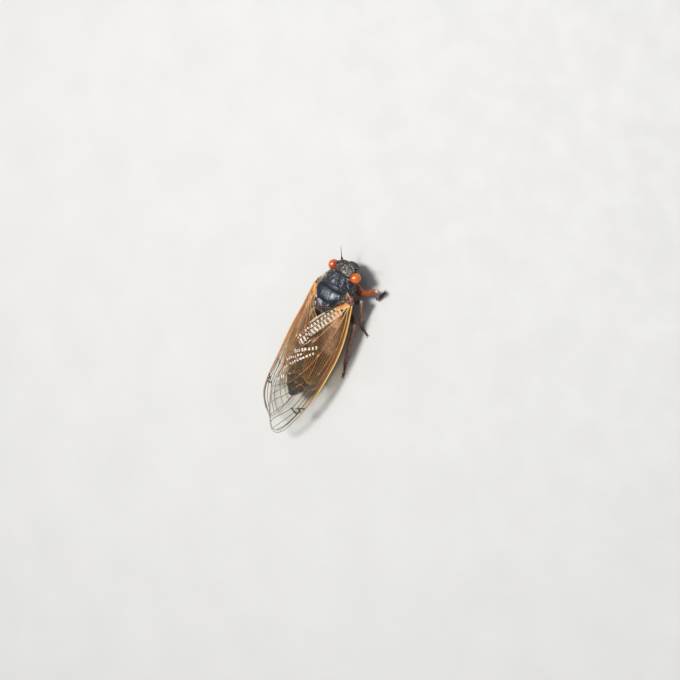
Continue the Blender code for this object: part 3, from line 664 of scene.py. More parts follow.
def build_eye(side, word, finish):
    """An eye of six-sided facets, each a little raised."""
    bm = bmesh.new()
    bmesh.ops.create_icosphere(bm, subdivisions=5, radius=1)
    bm.verts.ensure_lookup_table()
    centres = np.array([v.co for v in bm.verts])
    corners = unit(np.array([f.calc_center_median() for f in bm.faces]))
    faces = []
    for edge in bm.edges:
        one, other = sorted(len(centres) + face.index for face in edge.link_faces)
        faces += [(vert.index, one, other) for vert in edge.verts]
    bm.free()
    faces = np.array(faces)
    spots = np.vstack([centres * FACET_RISE, corners])
    first, second, third = (spots[faces[:, k]] for k in range(3))
    wrong = np.einsum("ij,ij->i", np.cross(second - first, third - first), first) < 0
    faces[wrong] = faces[wrong][:, ::-1]
    gaze, rear, spot = (unit(np.array(way) * [side, 1, 1])
                        for way in (EYE_GAZE, EYE_REAR, EYE_SPOT))
    # Painted shade: the eye darkens away from its outward gaze, where it meets the head, and towards
    # its back.
    rim = np.clip(0.72 - spots @ gaze, 0, 1) ** 1.2 + np.clip(spots @ rear - 0.55, 0, 1)
    # The dark spot, plus painted shade over the whole left eye.
    dark = 0.5 * bump_at(np.linalg.norm(spots - spot, axis=1), 0.16) + EYE_PAINTED_SHADE[side]
    form = Form()
    form.add(spots * EYE_RADIUS / FACET_RISE + point(*EYE_PLACE, side), [faces],
             rim=np.clip(rim, 0, 1), spot=np.clip(dark, 0, 1))
    form.piece("eye_facets_" + word, [finish], "orange_eye", "eye_" + word)


ANTENNA_BASE = (1.98, 0.6, 5.0)
ANTENNA_TIPS = {LEFT: (3.0, -1.85, 5.8), RIGHT: (3.75, -0.85, 6.35)}
ANTENNA_SAG = (0, 0, 0.5)
# Share of the way to the tip and radius, at the ends of each joint of the feeler
ANTENNA_JOINTS = [(0, 0.2), (0.1, 0.23), (0.12, 0.15), (0.2, 0.17), (0.22, 0.08), (0.4, 0.075),
                  (0.41, 0.065), (0.58, 0.062), (0.59, 0.055), (0.75, 0.052), (0.76, 0.045),
                  (1, 0.03)]


def build_antenna(side, word, shell):
    base, tip = point(*ANTENNA_BASE, side), point(*ANTENNA_TIPS[side], side)
    shares = np.linspace(0, 1, 90)[:, None]
    path = base + (tip - base) * shares + np.array(ANTENNA_SAG) * shares * (1 - shares)
    form = Form()
    add_tube(form, path, ANTENNA_JOINTS, dark=lambda t: np.clip(1.15 - 0.5 * t, 0, 1))
    form.piece("feeler_" + word, [shell], "dark_shell", "antenna_" + word)


PRONOTUM_SECTIONS = [(2.75, 2.6, 6.4, 3.1), (2.85, 2.9, 6.75, 2.9), (3.3, 3.2, 7.08, 2.7),
                     (4.2, 3.42, 7.42, 2.5), (4.85, 3.55, 7.6, 2.5), (5.0, 3.72, 7.75, 2.45),
                     (5.4, 3.82, 7.95, 2.45), (5.75, 3.8, 7.95, 2.55), (6.1, 3.3, 7.6, 2.9)]
PRONOTUM_RIDGES = [([(0.55, 3.1), (0.75, 3.7), (1.3, 4.2), (1.1, 4.8)], -0.13, 0.15),
                   ([(1.75, 3.1), (2.0, 3.7), (2.7, 4.4), (3.3, 4.75)], -0.12, 0.14),
                   ([(0.0, 3.0), (0.0, 4.8)], -0.05, 0.08),
                   ([(0.3, 3.2), (0.25, 3.9), (0.75, 4.75)], 0.10, 0.2),
                   ([(2.35, 3.8)], -0.14, 0.32),
                   ([(1.18, 4.85), (2.0, 4.75), (2.75, 4.4), (3.1, 3.9), (3.3, 3.45)], 0.09, 0.13)]
# Rings round the pronotum: station, height and width
PRONOTUM_RINGS = [(2.95, 0.06, 0.08), (4.93, -0.05, 0.1), (5.3, -0.04, 0.07), (5.55, 0.05, 0.12)]
PRONOTUM_SIDE = 5.0


def build_pronotum(shell):
    stations = np.concatenate([[2.75], np.linspace(2.85, 5.8, 80), [6.0, 6.1]])
    grid = oval(PRONOTUM_SECTIONS, stations, turns_of(240))
    out, s = out_and_station(grid)
    plan, upper = np.stack([out, s], axis=-1), grid[..., 2] > PRONOTUM_SIDE
    height = 0.03 * noise(grid, 0.55, 3) + 0.02 * noise(grid * [1, 3, 1], 0.4, 2) * upper
    height += ridges(plan, PRONOTUM_RIDGES) * upper
    height += sum(rise * bump_at(s - middle, width) for middle, rise, width in PRONOTUM_RINGS)
    grid = relief(grid, height)
    pale = 0.85 * bump_at(s - 2.92, 0.07) * upper * rising(out, 1.2, 1.9)
    # Painted sheen: the grey bloom is thickest along the middle of the top, where light from above is
    # caught.
    dust = np.clip(0.75 - 0.5 * out / 3.5 + 0.4 * noise(grid, 0.8, 2), 0, 1)
    return build_shell("pronotum_shell", "pronotum", shell, grid, dust=dust, pale=pale)


MESONOTUM_FLOOR, MESONOTUM_SIDE = 5.3, 6.6
MESONOTUM_SECTIONS = [(s, half, top, MESONOTUM_FLOOR) for s, half, top in [
    (5.5, 3.0, 7.85), (5.9, 3.3, 8.15), (6.3, 3.45, 8.35), (7.2, 3.3, 8.56), (8.2, 2.75, 8.62),
    (9.0, 2.2, 8.45), (9.8, 1.6, 8.15), (10.4, 1.15, 7.9), (10.9, 0.7, 7.6)]]
MESONOTUM_RIDGES = [([(0.45, 6.0), (0.8, 7.2), (0.95, 8.1)], -0.035, 0.05),
                    ([(1.9, 6.2), (1.75, 7.6), (1.5, 8.4)], -0.03, 0.05),
                    ([(0.0, 8.75), (0.75, 8.6)], -0.16, 0.3), ([(0.95, 9.8)], -0.14, 0.25),
                    ([(2.55, 5.9), (2.8, 6.6), (2.75, 7.4)], 0.08, 0.2)]
# The cross-shaped ridge is one line on each side, folded at the cross's centre
CROSS = [(1.5, 8.95), (0, 9.7), (0.8, 10.6)]
PALE_SPECKS = [(0.2, 9.6), (0.8, 9.8), (1.55, 9.4)]


def build_mesonotum(shell):
    """The glossy back plate, with fine seams and the cross-shaped ridge at its rear."""
    grid = oval(MESONOTUM_SECTIONS, np.linspace(5.5, 10.9, 130), turns_of(240), waist=0.25,
                squareness=0.64)
    out, s = out_and_station(grid)
    plan, upper = np.stack([out, s], axis=-1), grid[..., 2] > MESONOTUM_SIDE
    cross = line_distance(plan, CROSS)
    height = 0.012 * noise(grid, 0.5, 3) + ridges(plan, MESONOTUM_RIDGES) * upper
    grid = relief(grid, height + 0.26 * bump_at(cross, 0.26) * upper)
    rust = 0.12 * bump_at(cross, 0.3) * upper * (0.6 + 0.4 * noise(grid, 0.4, 2))
    specks = ridges(plan, [([place], 0.6, 0.12) for place in PALE_SPECKS]) * upper
    return build_shell("back_plate", "mesonotum", shell, grid, dust=0.10 + 0.15 * (s > 8.7),
                       rust=np.clip(rust, 0, 1), pale=np.clip(specks, 0, 1))


THORAX_SECTIONS = [(5.2, 3.2, 5.4, 2.3), (5.9, 3.4, 6.0, 2.1), (7.0, 3.6, 6.3, 1.8),
                   (9.0, 3.6, 6.3, 1.7), (10.5, 3.5, 6.1, 1.7), (11.3, 3.3, 6.0, 1.8),
                   (11.9, 3.0, 5.6, 2.1)]
# Seams of the thorax's sides as lines of (station, height)
PLEURAL_SEAMS = [[(6.4, 5.6), (6.9, 4.2), (7.4, 2.6)], [(8.3, 5.8), (8.5, 4.4), (8.9, 2.2)],
                 [(9.9, 5.6), (10.2, 4.2), (10.3, 2.2)], [(6.2, 3.6), (8.4, 3.3), (10.8, 3.4)]]


def build_thorax(shell):
    grid = oval(THORAX_SECTIONS, np.linspace(5.2, 11.9, 150), turns_of(240), squareness=0.85)
    sheet = np.stack([grid[..., 1] - NOSE_Y, grid[..., 2]], axis=-1)
    side = abs(grid[..., 0]) > 2.0
    height = 0.07 * noise(grid, 0.8, 3)
    height += ridges(sheet, [(seam, -0.16, 0.12) for seam in PLEURAL_SEAMS]) * side
    height -= 0.10 * bump_at(grid[..., 0], 0.08) * (grid[..., 2] < 3)
    grid = relief(grid, height)
    rust = np.clip(noise(grid, 1.1, 2) * 1.2 - 0.1, 0, 0.85) * side
    dust = np.clip(0.6 + 0.5 * noise(grid, 0.6, 2), 0, 1)
    return build_shell("thorax_shell", "thorax", shell, grid, dust=dust, rust=rust)


ABDOMEN_SECTIONS = [(11.2, 3.0, 5.6, 2.1), (11.6, 3.2, 5.8, 1.9), (14.0, 3.6, 6.1, 1.5),
                    (18.0, 3.65, 6.2, 1.5), (22.0, 3.5, 6.2, 1.8), (25.0, 3.05, 6.0, 2.2),
                    (27.4, 2.25, 5.6, 2.8), (29.2, 1.2, 5.1, 3.4), (29.9, 0.4, 4.7, 3.9)]
SEGMENT_ENDS = [13.0, 14.9, 16.9, 18.9, 20.9, 22.9, 24.9, 26.8, 28.4]
SIDE_FOLD = 0.95
SHEATH_LINE = [(0, 24.6, 2.3), (0, 27.2, 2.6), (0, 29.3, 3.45)]
SHEATH_PROFILE = [(0, 0.1), (0.1, 0.26), (0.6, 0.3), (1, 0.14)]


def build_abdomen(shell):
    """Rings that overlap like roof tiles, folded along the sides, orange underneath."""
    stations = [11.2, 11.4]
    start = 11.6
    for end in SEGMENT_ENDS:
        stations += list(np.linspace(start, end, 34)) + [end + 0.015]
        start = end + 0.04
    stations = np.array(stations + list(np.linspace(start, 29.9, 24)))
    turns = turns_of(220)
    grid = oval(ABDOMEN_SECTIONS, stations, turns)
    ends = np.array([11.0] + SEGMENT_ENDS + [30.6])
    index = np.searchsorted(ends, stations - 1e-6)
    share = np.clip((stations - ends[index - 1]) / (ends[index] - ends[index - 1]), 0, 1)[:, None]
    lip = 0.13 * share ** 1.5 + 0.04 * bump_at(share - 0.93, 0.05)
    under = np.clip(-np.sin(turns) * 1.6 - 0.1, 0, 1)[None]
    fold = np.abs(np.abs(turns - 1.5 * math.pi) - SIDE_FOLD)[None]
    height = lip * (1 - 0.3 * under) + 0.02 * noise(grid, 0.35, 3) - 0.15 * bump_at(fold, 0.06)
    grid = relief(grid, height)
    rust = bump_at(share - 0.97, 0.07) * (0.35 + 0.65 * under)
    rust = rust + under * (share > 0.45) * (0.55 + 0.5 * noise(grid, 0.6, 2))
    form = Form()
    add_shell(form, grid, dust=0.25 + 0.3 * noise(grid, 0.8, 2), rust=np.clip(rust, 0, 0.95))
    add_tube(form, line_of(SHEATH_LINE, step=0.1), SHEATH_PROFILE, 16, rust=0.25, dust=0.4)
    form.piece("abdomen_shell", [shell], "black_shell", "abdomen")
    return grid


BEAK_LINE = [(0, 1.9, 1.95), (0, 3.3, 1.7), (0, 5.8, 1.25)]
BEAK_PROFILE = [(0, 0.42), (0.3, 0.38), (0.33, 0.33), (0.65, 0.3), (0.68, 0.27), (1, 0.16)]


def build_beak(shell):
    form = Form()
    add_tube(form, line_of(BEAK_LINE), BEAK_PROFILE, 20,
             lift=lambda t, turn: -0.05 * bump_at(turn - 1.5 * math.pi, 0.2),
             dark=lambda t: np.clip(0.8 * t - 0.05, 0.2, 1))
    form.piece("beak", [shell], "dark_shell", "rostrum")


# Wings

RIDGE_TOP, RIDGE_BEND, RIDGE_FALL, ROOF_ROUND = 8.5, 18.0, 3.0, 0.8
ROOF_SLOPE = {RIGHT: 0.66, LEFT: 0.51}
ROOF_STEP = 0.95
WING_BASE, WING_TIP, LEFT_WING_TIP = 6.8, 38.2, 36.4
COSTAL_EDGE = {
    RIGHT: [(WING_BASE, 4.7), (9.0, 5.15), (12, 5.75), (15, 6.15), (18, 6.3), (21, 6.22),
            (24, 6.0), (27, 5.6), (30, 4.9), (32.5, 4.15), (34.5, 3.4), (36.2, 2.65), (37.3, 1.95),
            (38.0, 1.25), (WING_TIP, 0.6)],
    LEFT: [(WING_BASE, 4.9), (9.0, 5.05), (12, 5.5), (15, 6.05), (18, 6.4), (21, 6.5), (24, 6.55),
           (27, 6.8), (30, 7.1), (32, 7.15), (33.6, 6.8), (34.8, 5.9), (35.7, 4.5), (36.2, 3.0),
           (LEFT_WING_TIP, 1.9)],
}
INNER_EDGE = {
    RIGHT: [(WING_BASE, 3.75), (7.4, 3.4), (8.2, 2.65), (9.0, 2.05), (9.8, 1.5), (10.9, 0.75),
            (11.7, 0.3), (13, -0.5), (16, -1.5), (20, -2.4), (25, -3.2), (28.3, -3.8),
            (30.5, -3.75), (33, -3.05), (34.7, -2.25), (36.4, -1.2), (37.4, -0.6), (38.0, 0.0),
            (WING_TIP, 0.6)],
    LEFT: [(WING_BASE, 3.95), (8.2, 3.45), (9.8, 2.85), (11.0, 2.25), (11.7, 1.6), (12.3, 0.7),
           (13, -0.3), (16, -1.4), (20, -2.1), (24, -2.4), (27, -2.3), (30, -1.8), (32, -1.2),
           (34, -0.3), (35.3, 0.6), (36, 1.3), (LEFT_WING_TIP, 1.9)],
}
# The wing lies nearly flat inside this line of (station, out), and slopes down outside it
FOLD_LINE = [(6.8, 4.7), (8.4, 4.4), (10.3, 3.6), (12.1, 2.75), (13.9, 1.8), (15.5, 0.8),
             (17.3, -0.2), (40, -0.2)]
FLAT_SLOPE, FLAT_LIFT, FLAT_ROUND = 0.14, 0.3, 0.12
# Veins as places (along, across) on the wing: along from its base to its tip, across from its
# costal edge to its inner edge
MEDIA_FORK, MEDIA_FORE_FORK, MEDIA_HIND_FORK = (0.392, 0.357), (0.606, 0.343), (0.621, 0.531)
CUBITUS_FORK, SECTOR_FORK, RADIUS_FORK = (0.274, 0.537), (0.28, 0.08), (0.57, 0.08)
NODE = (0.63, 0.2)
FORE_VEINS = {
    "radius": [(0.02, 0.2), (0.11, 0.1), (0.2, 0.08), SECTOR_FORK, (0.45, 0.078), RADIUS_FORK,
               (0.68, 0.075), (0.765, 0.07), (0.83, 0.075), (0.89, 0.1), (0.94, 0.18), (0.972, 0.32)],
    "radius_2": [RADIUS_FORK, (0.64, 0.11), (0.71, 0.13), (0.77, 0.14), (0.82, 0.16),
                 (0.88, 0.24), (0.93, 0.38), (0.965, 0.55), (0.98, 0.66)],
    "sector": [SECTOR_FORK, (0.36, 0.125), (0.46, 0.157), (0.57, 0.18), NODE, (0.72, 0.205),
               (0.785, 0.24), (0.84, 0.35), (0.89, 0.52), (0.935, 0.78), (0.95, 0.88)],
    "media": [(0.02, 0.27), (0.08, 0.23), (0.15, 0.235), (0.23, 0.26), (0.31, 0.315), MEDIA_FORK],
    "media_fore": [MEDIA_FORK, (0.477, 0.31), (0.544, 0.305), MEDIA_FORE_FORK, (0.717, 0.362),
                   (0.784, 0.42), (0.846, 0.56), (0.9, 0.82), (0.915, 0.92)],
    "media_2": [MEDIA_FORE_FORK, (0.643, 0.394), (0.696, 0.45), (0.751, 0.56), (0.835, 0.88),
                (0.85, 0.94)],
    "media_hind": [MEDIA_FORK, (0.463, 0.385), (0.519, 0.43), MEDIA_HIND_FORK, (0.697, 0.63),
                   (0.785, 0.91), (0.795, 0.95)],
    "media_4": [MEDIA_HIND_FORK, (0.661, 0.65), (0.73, 0.92), (0.738, 0.955)],
    "cubitus": [(0.02, 0.42), (0.1, 0.37), (0.19, 0.44), CUBITUS_FORK],
    "cubitus_1": [CUBITUS_FORK, (0.346, 0.58), (0.441, 0.644), (0.519, 0.692), (0.588, 0.77),
                  (0.66, 0.93), (0.668, 0.96)],
    "cubitus_2": [CUBITUS_FORK, (0.33, 0.66), (0.42, 0.79), (0.53, 0.96)],
    "claval": [(0.012, 0.45), (0.06, 0.4), (0.11, 0.46), (0.17, 0.54), (0.23, 0.63), (0.28, 0.74),
               (0.36, 0.95)],
    "anal": [(0.06, 0.7), (0.12, 0.7), (0.2, 0.76), (0.28, 0.92)],
    "arculus": [(0.125, 0.235), (0.12, 0.375)],
    "cross_node": [(0.6, 0.08), NODE, MEDIA_FORE_FORK],
    "cross_radial": [(0.765, 0.07), (0.81, 0.155)],
    "cross_sector": [(0.77, 0.14), (0.785, 0.24)],
    "cross_media": [(0.7, 0.36), (0.7, 0.455)],
    "cross_cubitus": [(0.65, 0.57), (0.6, 0.79)],
}
# Radius at the start and at the end of each vein
VEIN_SIZES = {"radius": (0.11, 0.06), "sector": (0.075, 0.055), "media": (0.095, 0.07),
              "cubitus": (0.085, 0.07), "claval": (0.075, 0.04), "anal": (0.06, 0.035)}
THIN_VEIN, VEIN_FLATNESS = (0.06, 0.045), 0.85
COSTA_PROFILE = [(0, 0.13), (0.05, 0.16), (0.6, 0.12), (0.8, 0.07), (1, 0.045)]
HEM_PROFILE = [(0, 0.1), (0.1, 0.09), (0.35, 0.045), (1, 0.035)]
# Millimetres of one whole (along, across) of the wing
SPOT_SIZE = (31, 8)
ZIGZAG = [(0.755, 0.02), (0.768, 0.125), (0.787, 0.05), (0.808, 0.105), (0.787, 0.235)]
# The second line marks painted shadow: the membrane near the root is darkened over the shaded side of
# the thorax.
CREAM_LINE, ROOT_SHADOW_LINE = [(0.105, 0.47), (0.17, 0.34)], [(0.03, 0.36), (0.075, 0.13)]
FAN_LINE = [(0.19, 0.32), (0.33, 0.24)]
YELLOW_NODES = [MEDIA_FORK, NODE]
GOLD = {RIGHT: 1.0, LEFT: 0.45}
# Pleats of the membrane between the veins
PLEATS = [[(0.30, 0.50), (0.36, 0.67), (0.43, 0.88)], [(0.396, 0.46), (0.488, 0.65), (0.579, 0.90)],
          [(0.44, 0.72), (0.49, 0.82), (0.54, 0.97)], [(0.59, 0.66), (0.63, 0.79), (0.69, 0.96)],
          [(0.2, 0.38), (0.28, 0.43), (0.36, 0.47)], [(0.45, 0.23), (0.55, 0.24)],
          [(0.68, 0.28), (0.78, 0.33), (0.86, 0.5)]]
# Rows of small ribs, each a facet of one slope with a groove after it: start and end of the row
# as (out, station), pitch, half width, groove width, and shift between its two columns
RIBS = [((3.35, 8.9), (-1.5, 18.8), 0.8, 1.0, 0.085, 0.5),
        ((2.6, 17.7), (-1.8, 21.0), 0.62, 0.4, 0.01, 0),
        ((0.7, 20.3), (-2.9, 23.5), 0.62, 0.34, 0.01, 0),
        ((2.5, 19.0), (-2.3, 25.1), 0.62, 0.27, 0.01, 0),
        ((-1.2, 26.1), (-3.2, 28.1), 0.62, 0.32, 0.01, 0)]
RIB_SLOPE = np.array([0.151, 0.214])
RIB_WANDER, RIB_SPLIT, RIB_LIFT = 0.18, 0.3, 0.05
SAG, WAVE_HEIGHT, PLEAT_HEIGHT = 0.13, 0.05, 0.22
# The slanting edge of the orange patch: its start (along, across), and how far it runs each way
PATCH_START, PATCH_RUN = (0.017, 0.24), (0.066, 0.57)
MARGIN_INSET = 0.42
MEMBRANE_HALF_THICKNESS = 0.03
# How many steps down each wing lies under the upper one
FORE_LEVEL, HIND_LEVEL = {RIGHT: 0, LEFT: 1}, {RIGHT: 0.75, LEFT: 1.6}


def run(along, across):
    """Spots of a line along the wing."""
    return np.stack(np.broadcast_arrays(along, across), axis=-1)


def patch_edge(along):
    """How far across the wing the orange patch at its root starts."""
    return PATCH_START[1] + (along - PATCH_START[0]) / PATCH_RUN[0] * PATCH_RUN[1]


def raised(plan, height):
    """Places over the plan (x, station) at a height."""
    return np.stack([plan[..., 0], NOSE_Y + plan[..., 1], height], axis=-1)


class Wing:
    """A wing on the roof over the body: its plan and its height."""

    def __init__(self, side, outer, inner, level):
        self.side, self.outer, self.inner, self.level = side, outer, inner, level
        self.low, self.high = outer[0][0], outer[-1][0]
        self.veins = [self.plan(smooth_path(points, 0.012)) for points in FORE_VEINS.values()]
        self.pleats = [self.plan(smooth_path(points, 0.02)) for points in PLEATS]

    def plan(self, spots):
        """Places (x, station) of spots (along, across)."""
        spots = np.asarray(spots, float)
        station = self.low + spots[..., 0] * (self.high - self.low)
        edge, inside = curve(self.outer, station), curve(self.inner, station)
        return np.stack([self.side * (edge + spots[..., 1] * (inside - edge)), station], axis=-1)

    def near(self, plan, line, width):
        """1 on a line of spots, and less away from it."""
        return bump_at(line_distance(plan, self.plan(line)), width)

    def ridged(self, out, station):
        """The height of the plain roof."""
        level = self.level * (1 - 0.55 * falling(station, 8, 15))
        beyond = np.maximum(0, (station - RIDGE_BEND) / (WING_TIP - RIDGE_BEND))
        ridge = RIDGE_TOP - RIDGE_FALL * beyond ** 3 - level * ROOF_STEP
        slope = np.where(out * self.side > 0, ROOF_SLOPE[LEFT], ROOF_SLOPE[RIGHT])
        return ridge - slope * (np.hypot(out, ROOF_ROUND) - ROOF_ROUND)

    def roof(self, plan):
        """The height of the roof, nearly flat inside the fold line at the wing's root."""
        out, station = plan[..., 0] * self.side, plan[..., 1]
        fold, reach = curve(FOLD_LINE, station), curve(self.outer, station) - out
        lift = FLAT_LIFT * falling(station, 12, 18) * np.clip(reach / 2, 0, 1)
        flat = self.ridged(fold, station) + lift + FLAT_SLOPE * (fold - out)
        steep = self.ridged(out, station) + lift
        soft = -FLAT_ROUND * np.logaddexp(-flat / FLAT_ROUND, -steep / FLAT_ROUND)
        share = falling(station, 15.5, 19)
        return share * soft + (1 - share) * steep

    def height(self, plan):
        """How far the membrane stands over the roof: it sags between veins and wrinkles."""
        nearest = np.min([line_distance(plan, line) for line in self.veins], axis=0)
        place = np.stack([plan[..., 0], plan[..., 1] * 0.5, 0 * nearest], axis=-1)
        wave = WAVE_HEIGHT * noise(place, 1.6, 2) * np.clip(nearest, 0, 1)
        pleats = sum(bump_at(line_distance(plan, line), 0.45) for line in self.pleats)
        height = wave + PLEAT_HEIGHT * pleats - SAG * (1 - bump_at(nearest, 0.5))
        roof = self.roof(plan)
        for row in RIBS:
            share, ribs = self.ribs(plan, *row)
            height = height + share * (ribs - roof - height)
        return height

    def ribs(self, plan, start, end, pitch, half, groove, shift):
        """How far each place belongs to a row of ribs, and the height of its facet there."""
        mirror = np.array([-self.side, 1])
        start, end = np.array(start) * [-1, 1], np.array(end) * [-1, 1]
        spots = plan * mirror
        length = np.linalg.norm(end - start)
        along = (end - start) / length
        across = np.array([along[1], -along[0]])
        t, q = (spots - start) @ along, (spots - start) @ across
        wander = RIB_WANDER * noise(np.stack([t * 0, q, t], axis=-1), 0.9)
        offset = shift * (q > RIB_SPLIT) + wander
        cell = np.floor(t / pitch + offset)
        u = t / pitch + offset - cell

        def facet(number):
            centre = start + along * ((number + 0.5 - offset) * pitch)[..., None]
            return self.roof(centre * mirror) + RIB_LIFT + (spots - centre) @ RIB_SLOPE

        blend = rising(u, 0.8, 0.98)
        height = facet(cell) * (1 - blend) + facet(cell + 1) * blend
        height = height - 0.7 * groove * bump_at((u - 0.85) * pitch, groove)
        height = height - 0.04 * bump_at(q - RIB_SPLIT, 0.06) * (shift > 0)
        ends = rising(t, -0.4, 0) * falling(t, length - 0.4, length)
        return falling(np.abs(q), half, half + 0.25) * ends, height

    def places(self, plan, rise=0.0):
        return raised(plan, self.roof(plan) + self.height(plan) + rise)


def sheet_faces(rows, columns, flip):
    """Faces of a thin closed sheet: its top, its underside and the band round its edge."""
    size = rows * columns
    rim = np.concatenate([np.arange(columns), np.arange(1, rows) * columns + columns - 1,
                          (rows - 1) * columns + np.arange(columns - 2, -1, -1),
                          np.arange(rows - 2, 0, -1) * columns])
    after = np.roll(rim, -1)
    band = np.stack([rim, rim + size, after + size, after], axis=1)
    return [grid_faces(rows, columns, flip=flip),
            grid_faces(rows, columns, start=size, flip=not flip), band[:, ::-1] if flip else band]


def add_sheet(form, middle, flip, **values):
    rows, columns = middle.shape[:2]
    thick = np.array([0, 0, MEMBRANE_HALF_THICKNESS])
    form.add(np.stack([middle + thick, middle - thick]), sheet_faces(rows, columns, flip),
             **{key: np.tile(value.ravel(), 2) for key, value in values.items()})


def cloudiness(side, along, across):
    """How cloudy a fore wing is: most near its root, and on the right along its outer edge."""
    if side == LEFT:
        return np.clip(1.3 - along, 0, 1) * falling(along, 0.45, 0.82)
    root = np.clip(1.1 - 1.6 * along, 0, 1)
    root = root * (1 - 0.6 * rising(across, 0.4, 0.55) * rising(along, 0.15, 0.25))
    edge = 0.8 * np.clip((0.32 - across) / 0.3, 0, 1) * falling(along, 0.5, 0.85)
    return np.maximum(root, edge)


def build_forewing(side, word, membrane, vein):
    wing = Wing(side, COSTAL_EDGE[side], INNER_EDGE[side], FORE_LEVEL[side])
    share = np.linspace(0, 1, 420)
    # Rows stand closer near the root, and the last one stays short of the tip, a single place
    rows = 0.999 * (0.45 * (1 - np.cos(share * math.pi)) / 2 + 0.55 * share)
    along, across = np.meshgrid(rows, np.linspace(0, 1, 92), indexing="ij")
    plan = wing.plan(run(along, across))
    cream = np.maximum(wing.near(plan, CREAM_LINE, 0.95), 0.62 * wing.near(plan, FAN_LINE, 1.2))
    # Painted shadow: a dark streak on the membrane near the root.
    gap = wing.near(plan, ROOT_SHADOW_LINE, 0.35)
    edge = patch_edge(along)
    patch = rising(across, edge - 0.02, edge + 0.02) * falling(along, 0.075, 0.09) * (along > 0.012)
    costal = falling(across, 0.055, 0.08) * falling(along, 0.5, 0.72)
    form = Form()
    add_sheet(form, wing.places(plan), side == LEFT, veil=cloudiness(side, along, across),
              orange=np.clip(0.33 * costal + 0.9 * patch, 0, 1),
              cream=0.9 * cream * (1 - patch) * (1 - gap),
              # black is the dark W mark, and painted shadow near the root.
              black=np.maximum(0.85 * wing.near(plan, ZIGZAG, 0.15), 0.75 * gap * (1 - patch)))
    add_veins(form, wing)
    add_edges(form, wing)
    add_margin(form, wing)
    form.piece("wing_" + word, [membrane, vein], "wing_membrane", "forewing_" + word)


def add_line(form, wing, spots, radii, rise=0.02, sides=8, **values):
    """A vein along spots on the wing. A value may be a function of the place along the wing."""
    places, faces, t = tube(wing.places(wing.plan(spots), rise), radii, sides, VEIN_FLATNESS)
    along = np.interp(t, np.linspace(0, 1, len(spots)), spots[:, 0])
    values = {key: value(along) if callable(value) else value for key, value in values.items()}
    form.add(places, faces, skin=1, **values)


def add_veins(form, wing):
    """The veins as tapered tubes, thicker and yellow at the main nodes, dark near the tip."""
    gold = GOLD[wing.side]
    for name, points in FORE_VEINS.items():
        spots = smooth_path(points, 0.006)
        size = np.linspace(*VEIN_SIZES.get(name, THIN_VEIN), len(spots))
        near = sum(bump_at(np.linalg.norm((spots - node) * SPOT_SIZE, axis=1), 0.32)
                   for node in YELLOW_NODES)
        near = np.clip(near, 0, 1)
        glow = 0.6 * gold * (name in ("claval", "anal"))
        add_line(form, wing, spots, size * (1 + 0.55 * near), dark=lambda a: ramp(a, 0.55, 0.75),
                 yellow=lambda a: np.clip(glow + np.interp(a, spots[:, 0], near)
                                          + 0.5 * gold * falling(a, 0.1, 0.4), 0, 1))


def add_edges(form, wing):
    """The costa and the vein beside it, the inner edge, the patch's edge and the dark W."""
    gold = GOLD[wing.side]
    along = np.linspace(0.0, 1, 240)
    add_line(form, wing, run(along, 0.004), COSTA_PROFILE, 0.0, 12,
             yellow=lambda a: 0.95 * gold * falling(a, 0.5, 0.8),
             dark=lambda a: np.minimum(ramp(a, 0.78, 0.98), 0.8))
    add_line(form, wing, run(along[6:190], 0.026), [(0, 0.09), (1, 0.05)], 0.03, yellow=0.15,
             dark=lambda a: ramp(a, 0.7, 0.85))
    add_line(form, wing, run(along, 0.998), HEM_PROFILE, 0.0,
             yellow=lambda a: 0.2 + 0.8 * gold ** 2 * falling(a, 0.08, 0.3),
             dark=lambda a: 0.5 * rising(a, 0.5, 0.8))
    along = PATCH_START[0] + np.linspace(0, PATCH_RUN[0], 20)
    add_line(form, wing, run(along, patch_edge(along)), [(0, 0.1), (1, 0.06)], 0.03, yellow=1.0)
    for start, end in zip(ZIGZAG, ZIGZAG[1:]):
        add_line(form, wing, np.linspace(start, end, 14), [(0, 0.1), (1, 0.08)], 0.03, dark=1.0)


def add_margin(form, wing):
    """The vein that runs round the tip at a distance inside the edge."""
    outer, inner = run(np.linspace(0.78, 1, 60), 0.0), run(np.linspace(1, 0.42, 150), 1.0)
    edge = wing.plan(np.vstack([outer, inner]))
    apart = np.linalg.norm(np.diff(edge, axis=0), axis=1) > 1e-3
    edge = edge[np.concatenate([[True], apart])]
    way = unit(np.gradient(edge, axis=0))
    inward = np.stack([-way[:, 1], way[:, 0]], axis=-1)
    inward = inward * np.sign(inward[0] @ (wing.plan([0.8, 0.5]) - edge[0]))
    margin = smooth_path((edge + inward * MARGIN_INSET)[::6], 0.15)
    add_tube(form, wing.places(margin, 0.02), [(0, 0.05)], 8, skin=1, dark=lambda t: 1 - 0.6 * t)


HIND_OUTER_EDGE = [(9.0, 4.5), (12, 5.35), (15, 5.6), (18, 5.5), (21, 5.3), (24, 4.7), (25.8, 3.6)]
HIND_INNER_EDGE = [(9.0, 3.9), (12, 2.9), (16, 1.8), (20, 1.3), (24, 2.0), (25.8, 3.4)]
HIND_PLEATS, PLEAT_COLUMNS = 11, 12


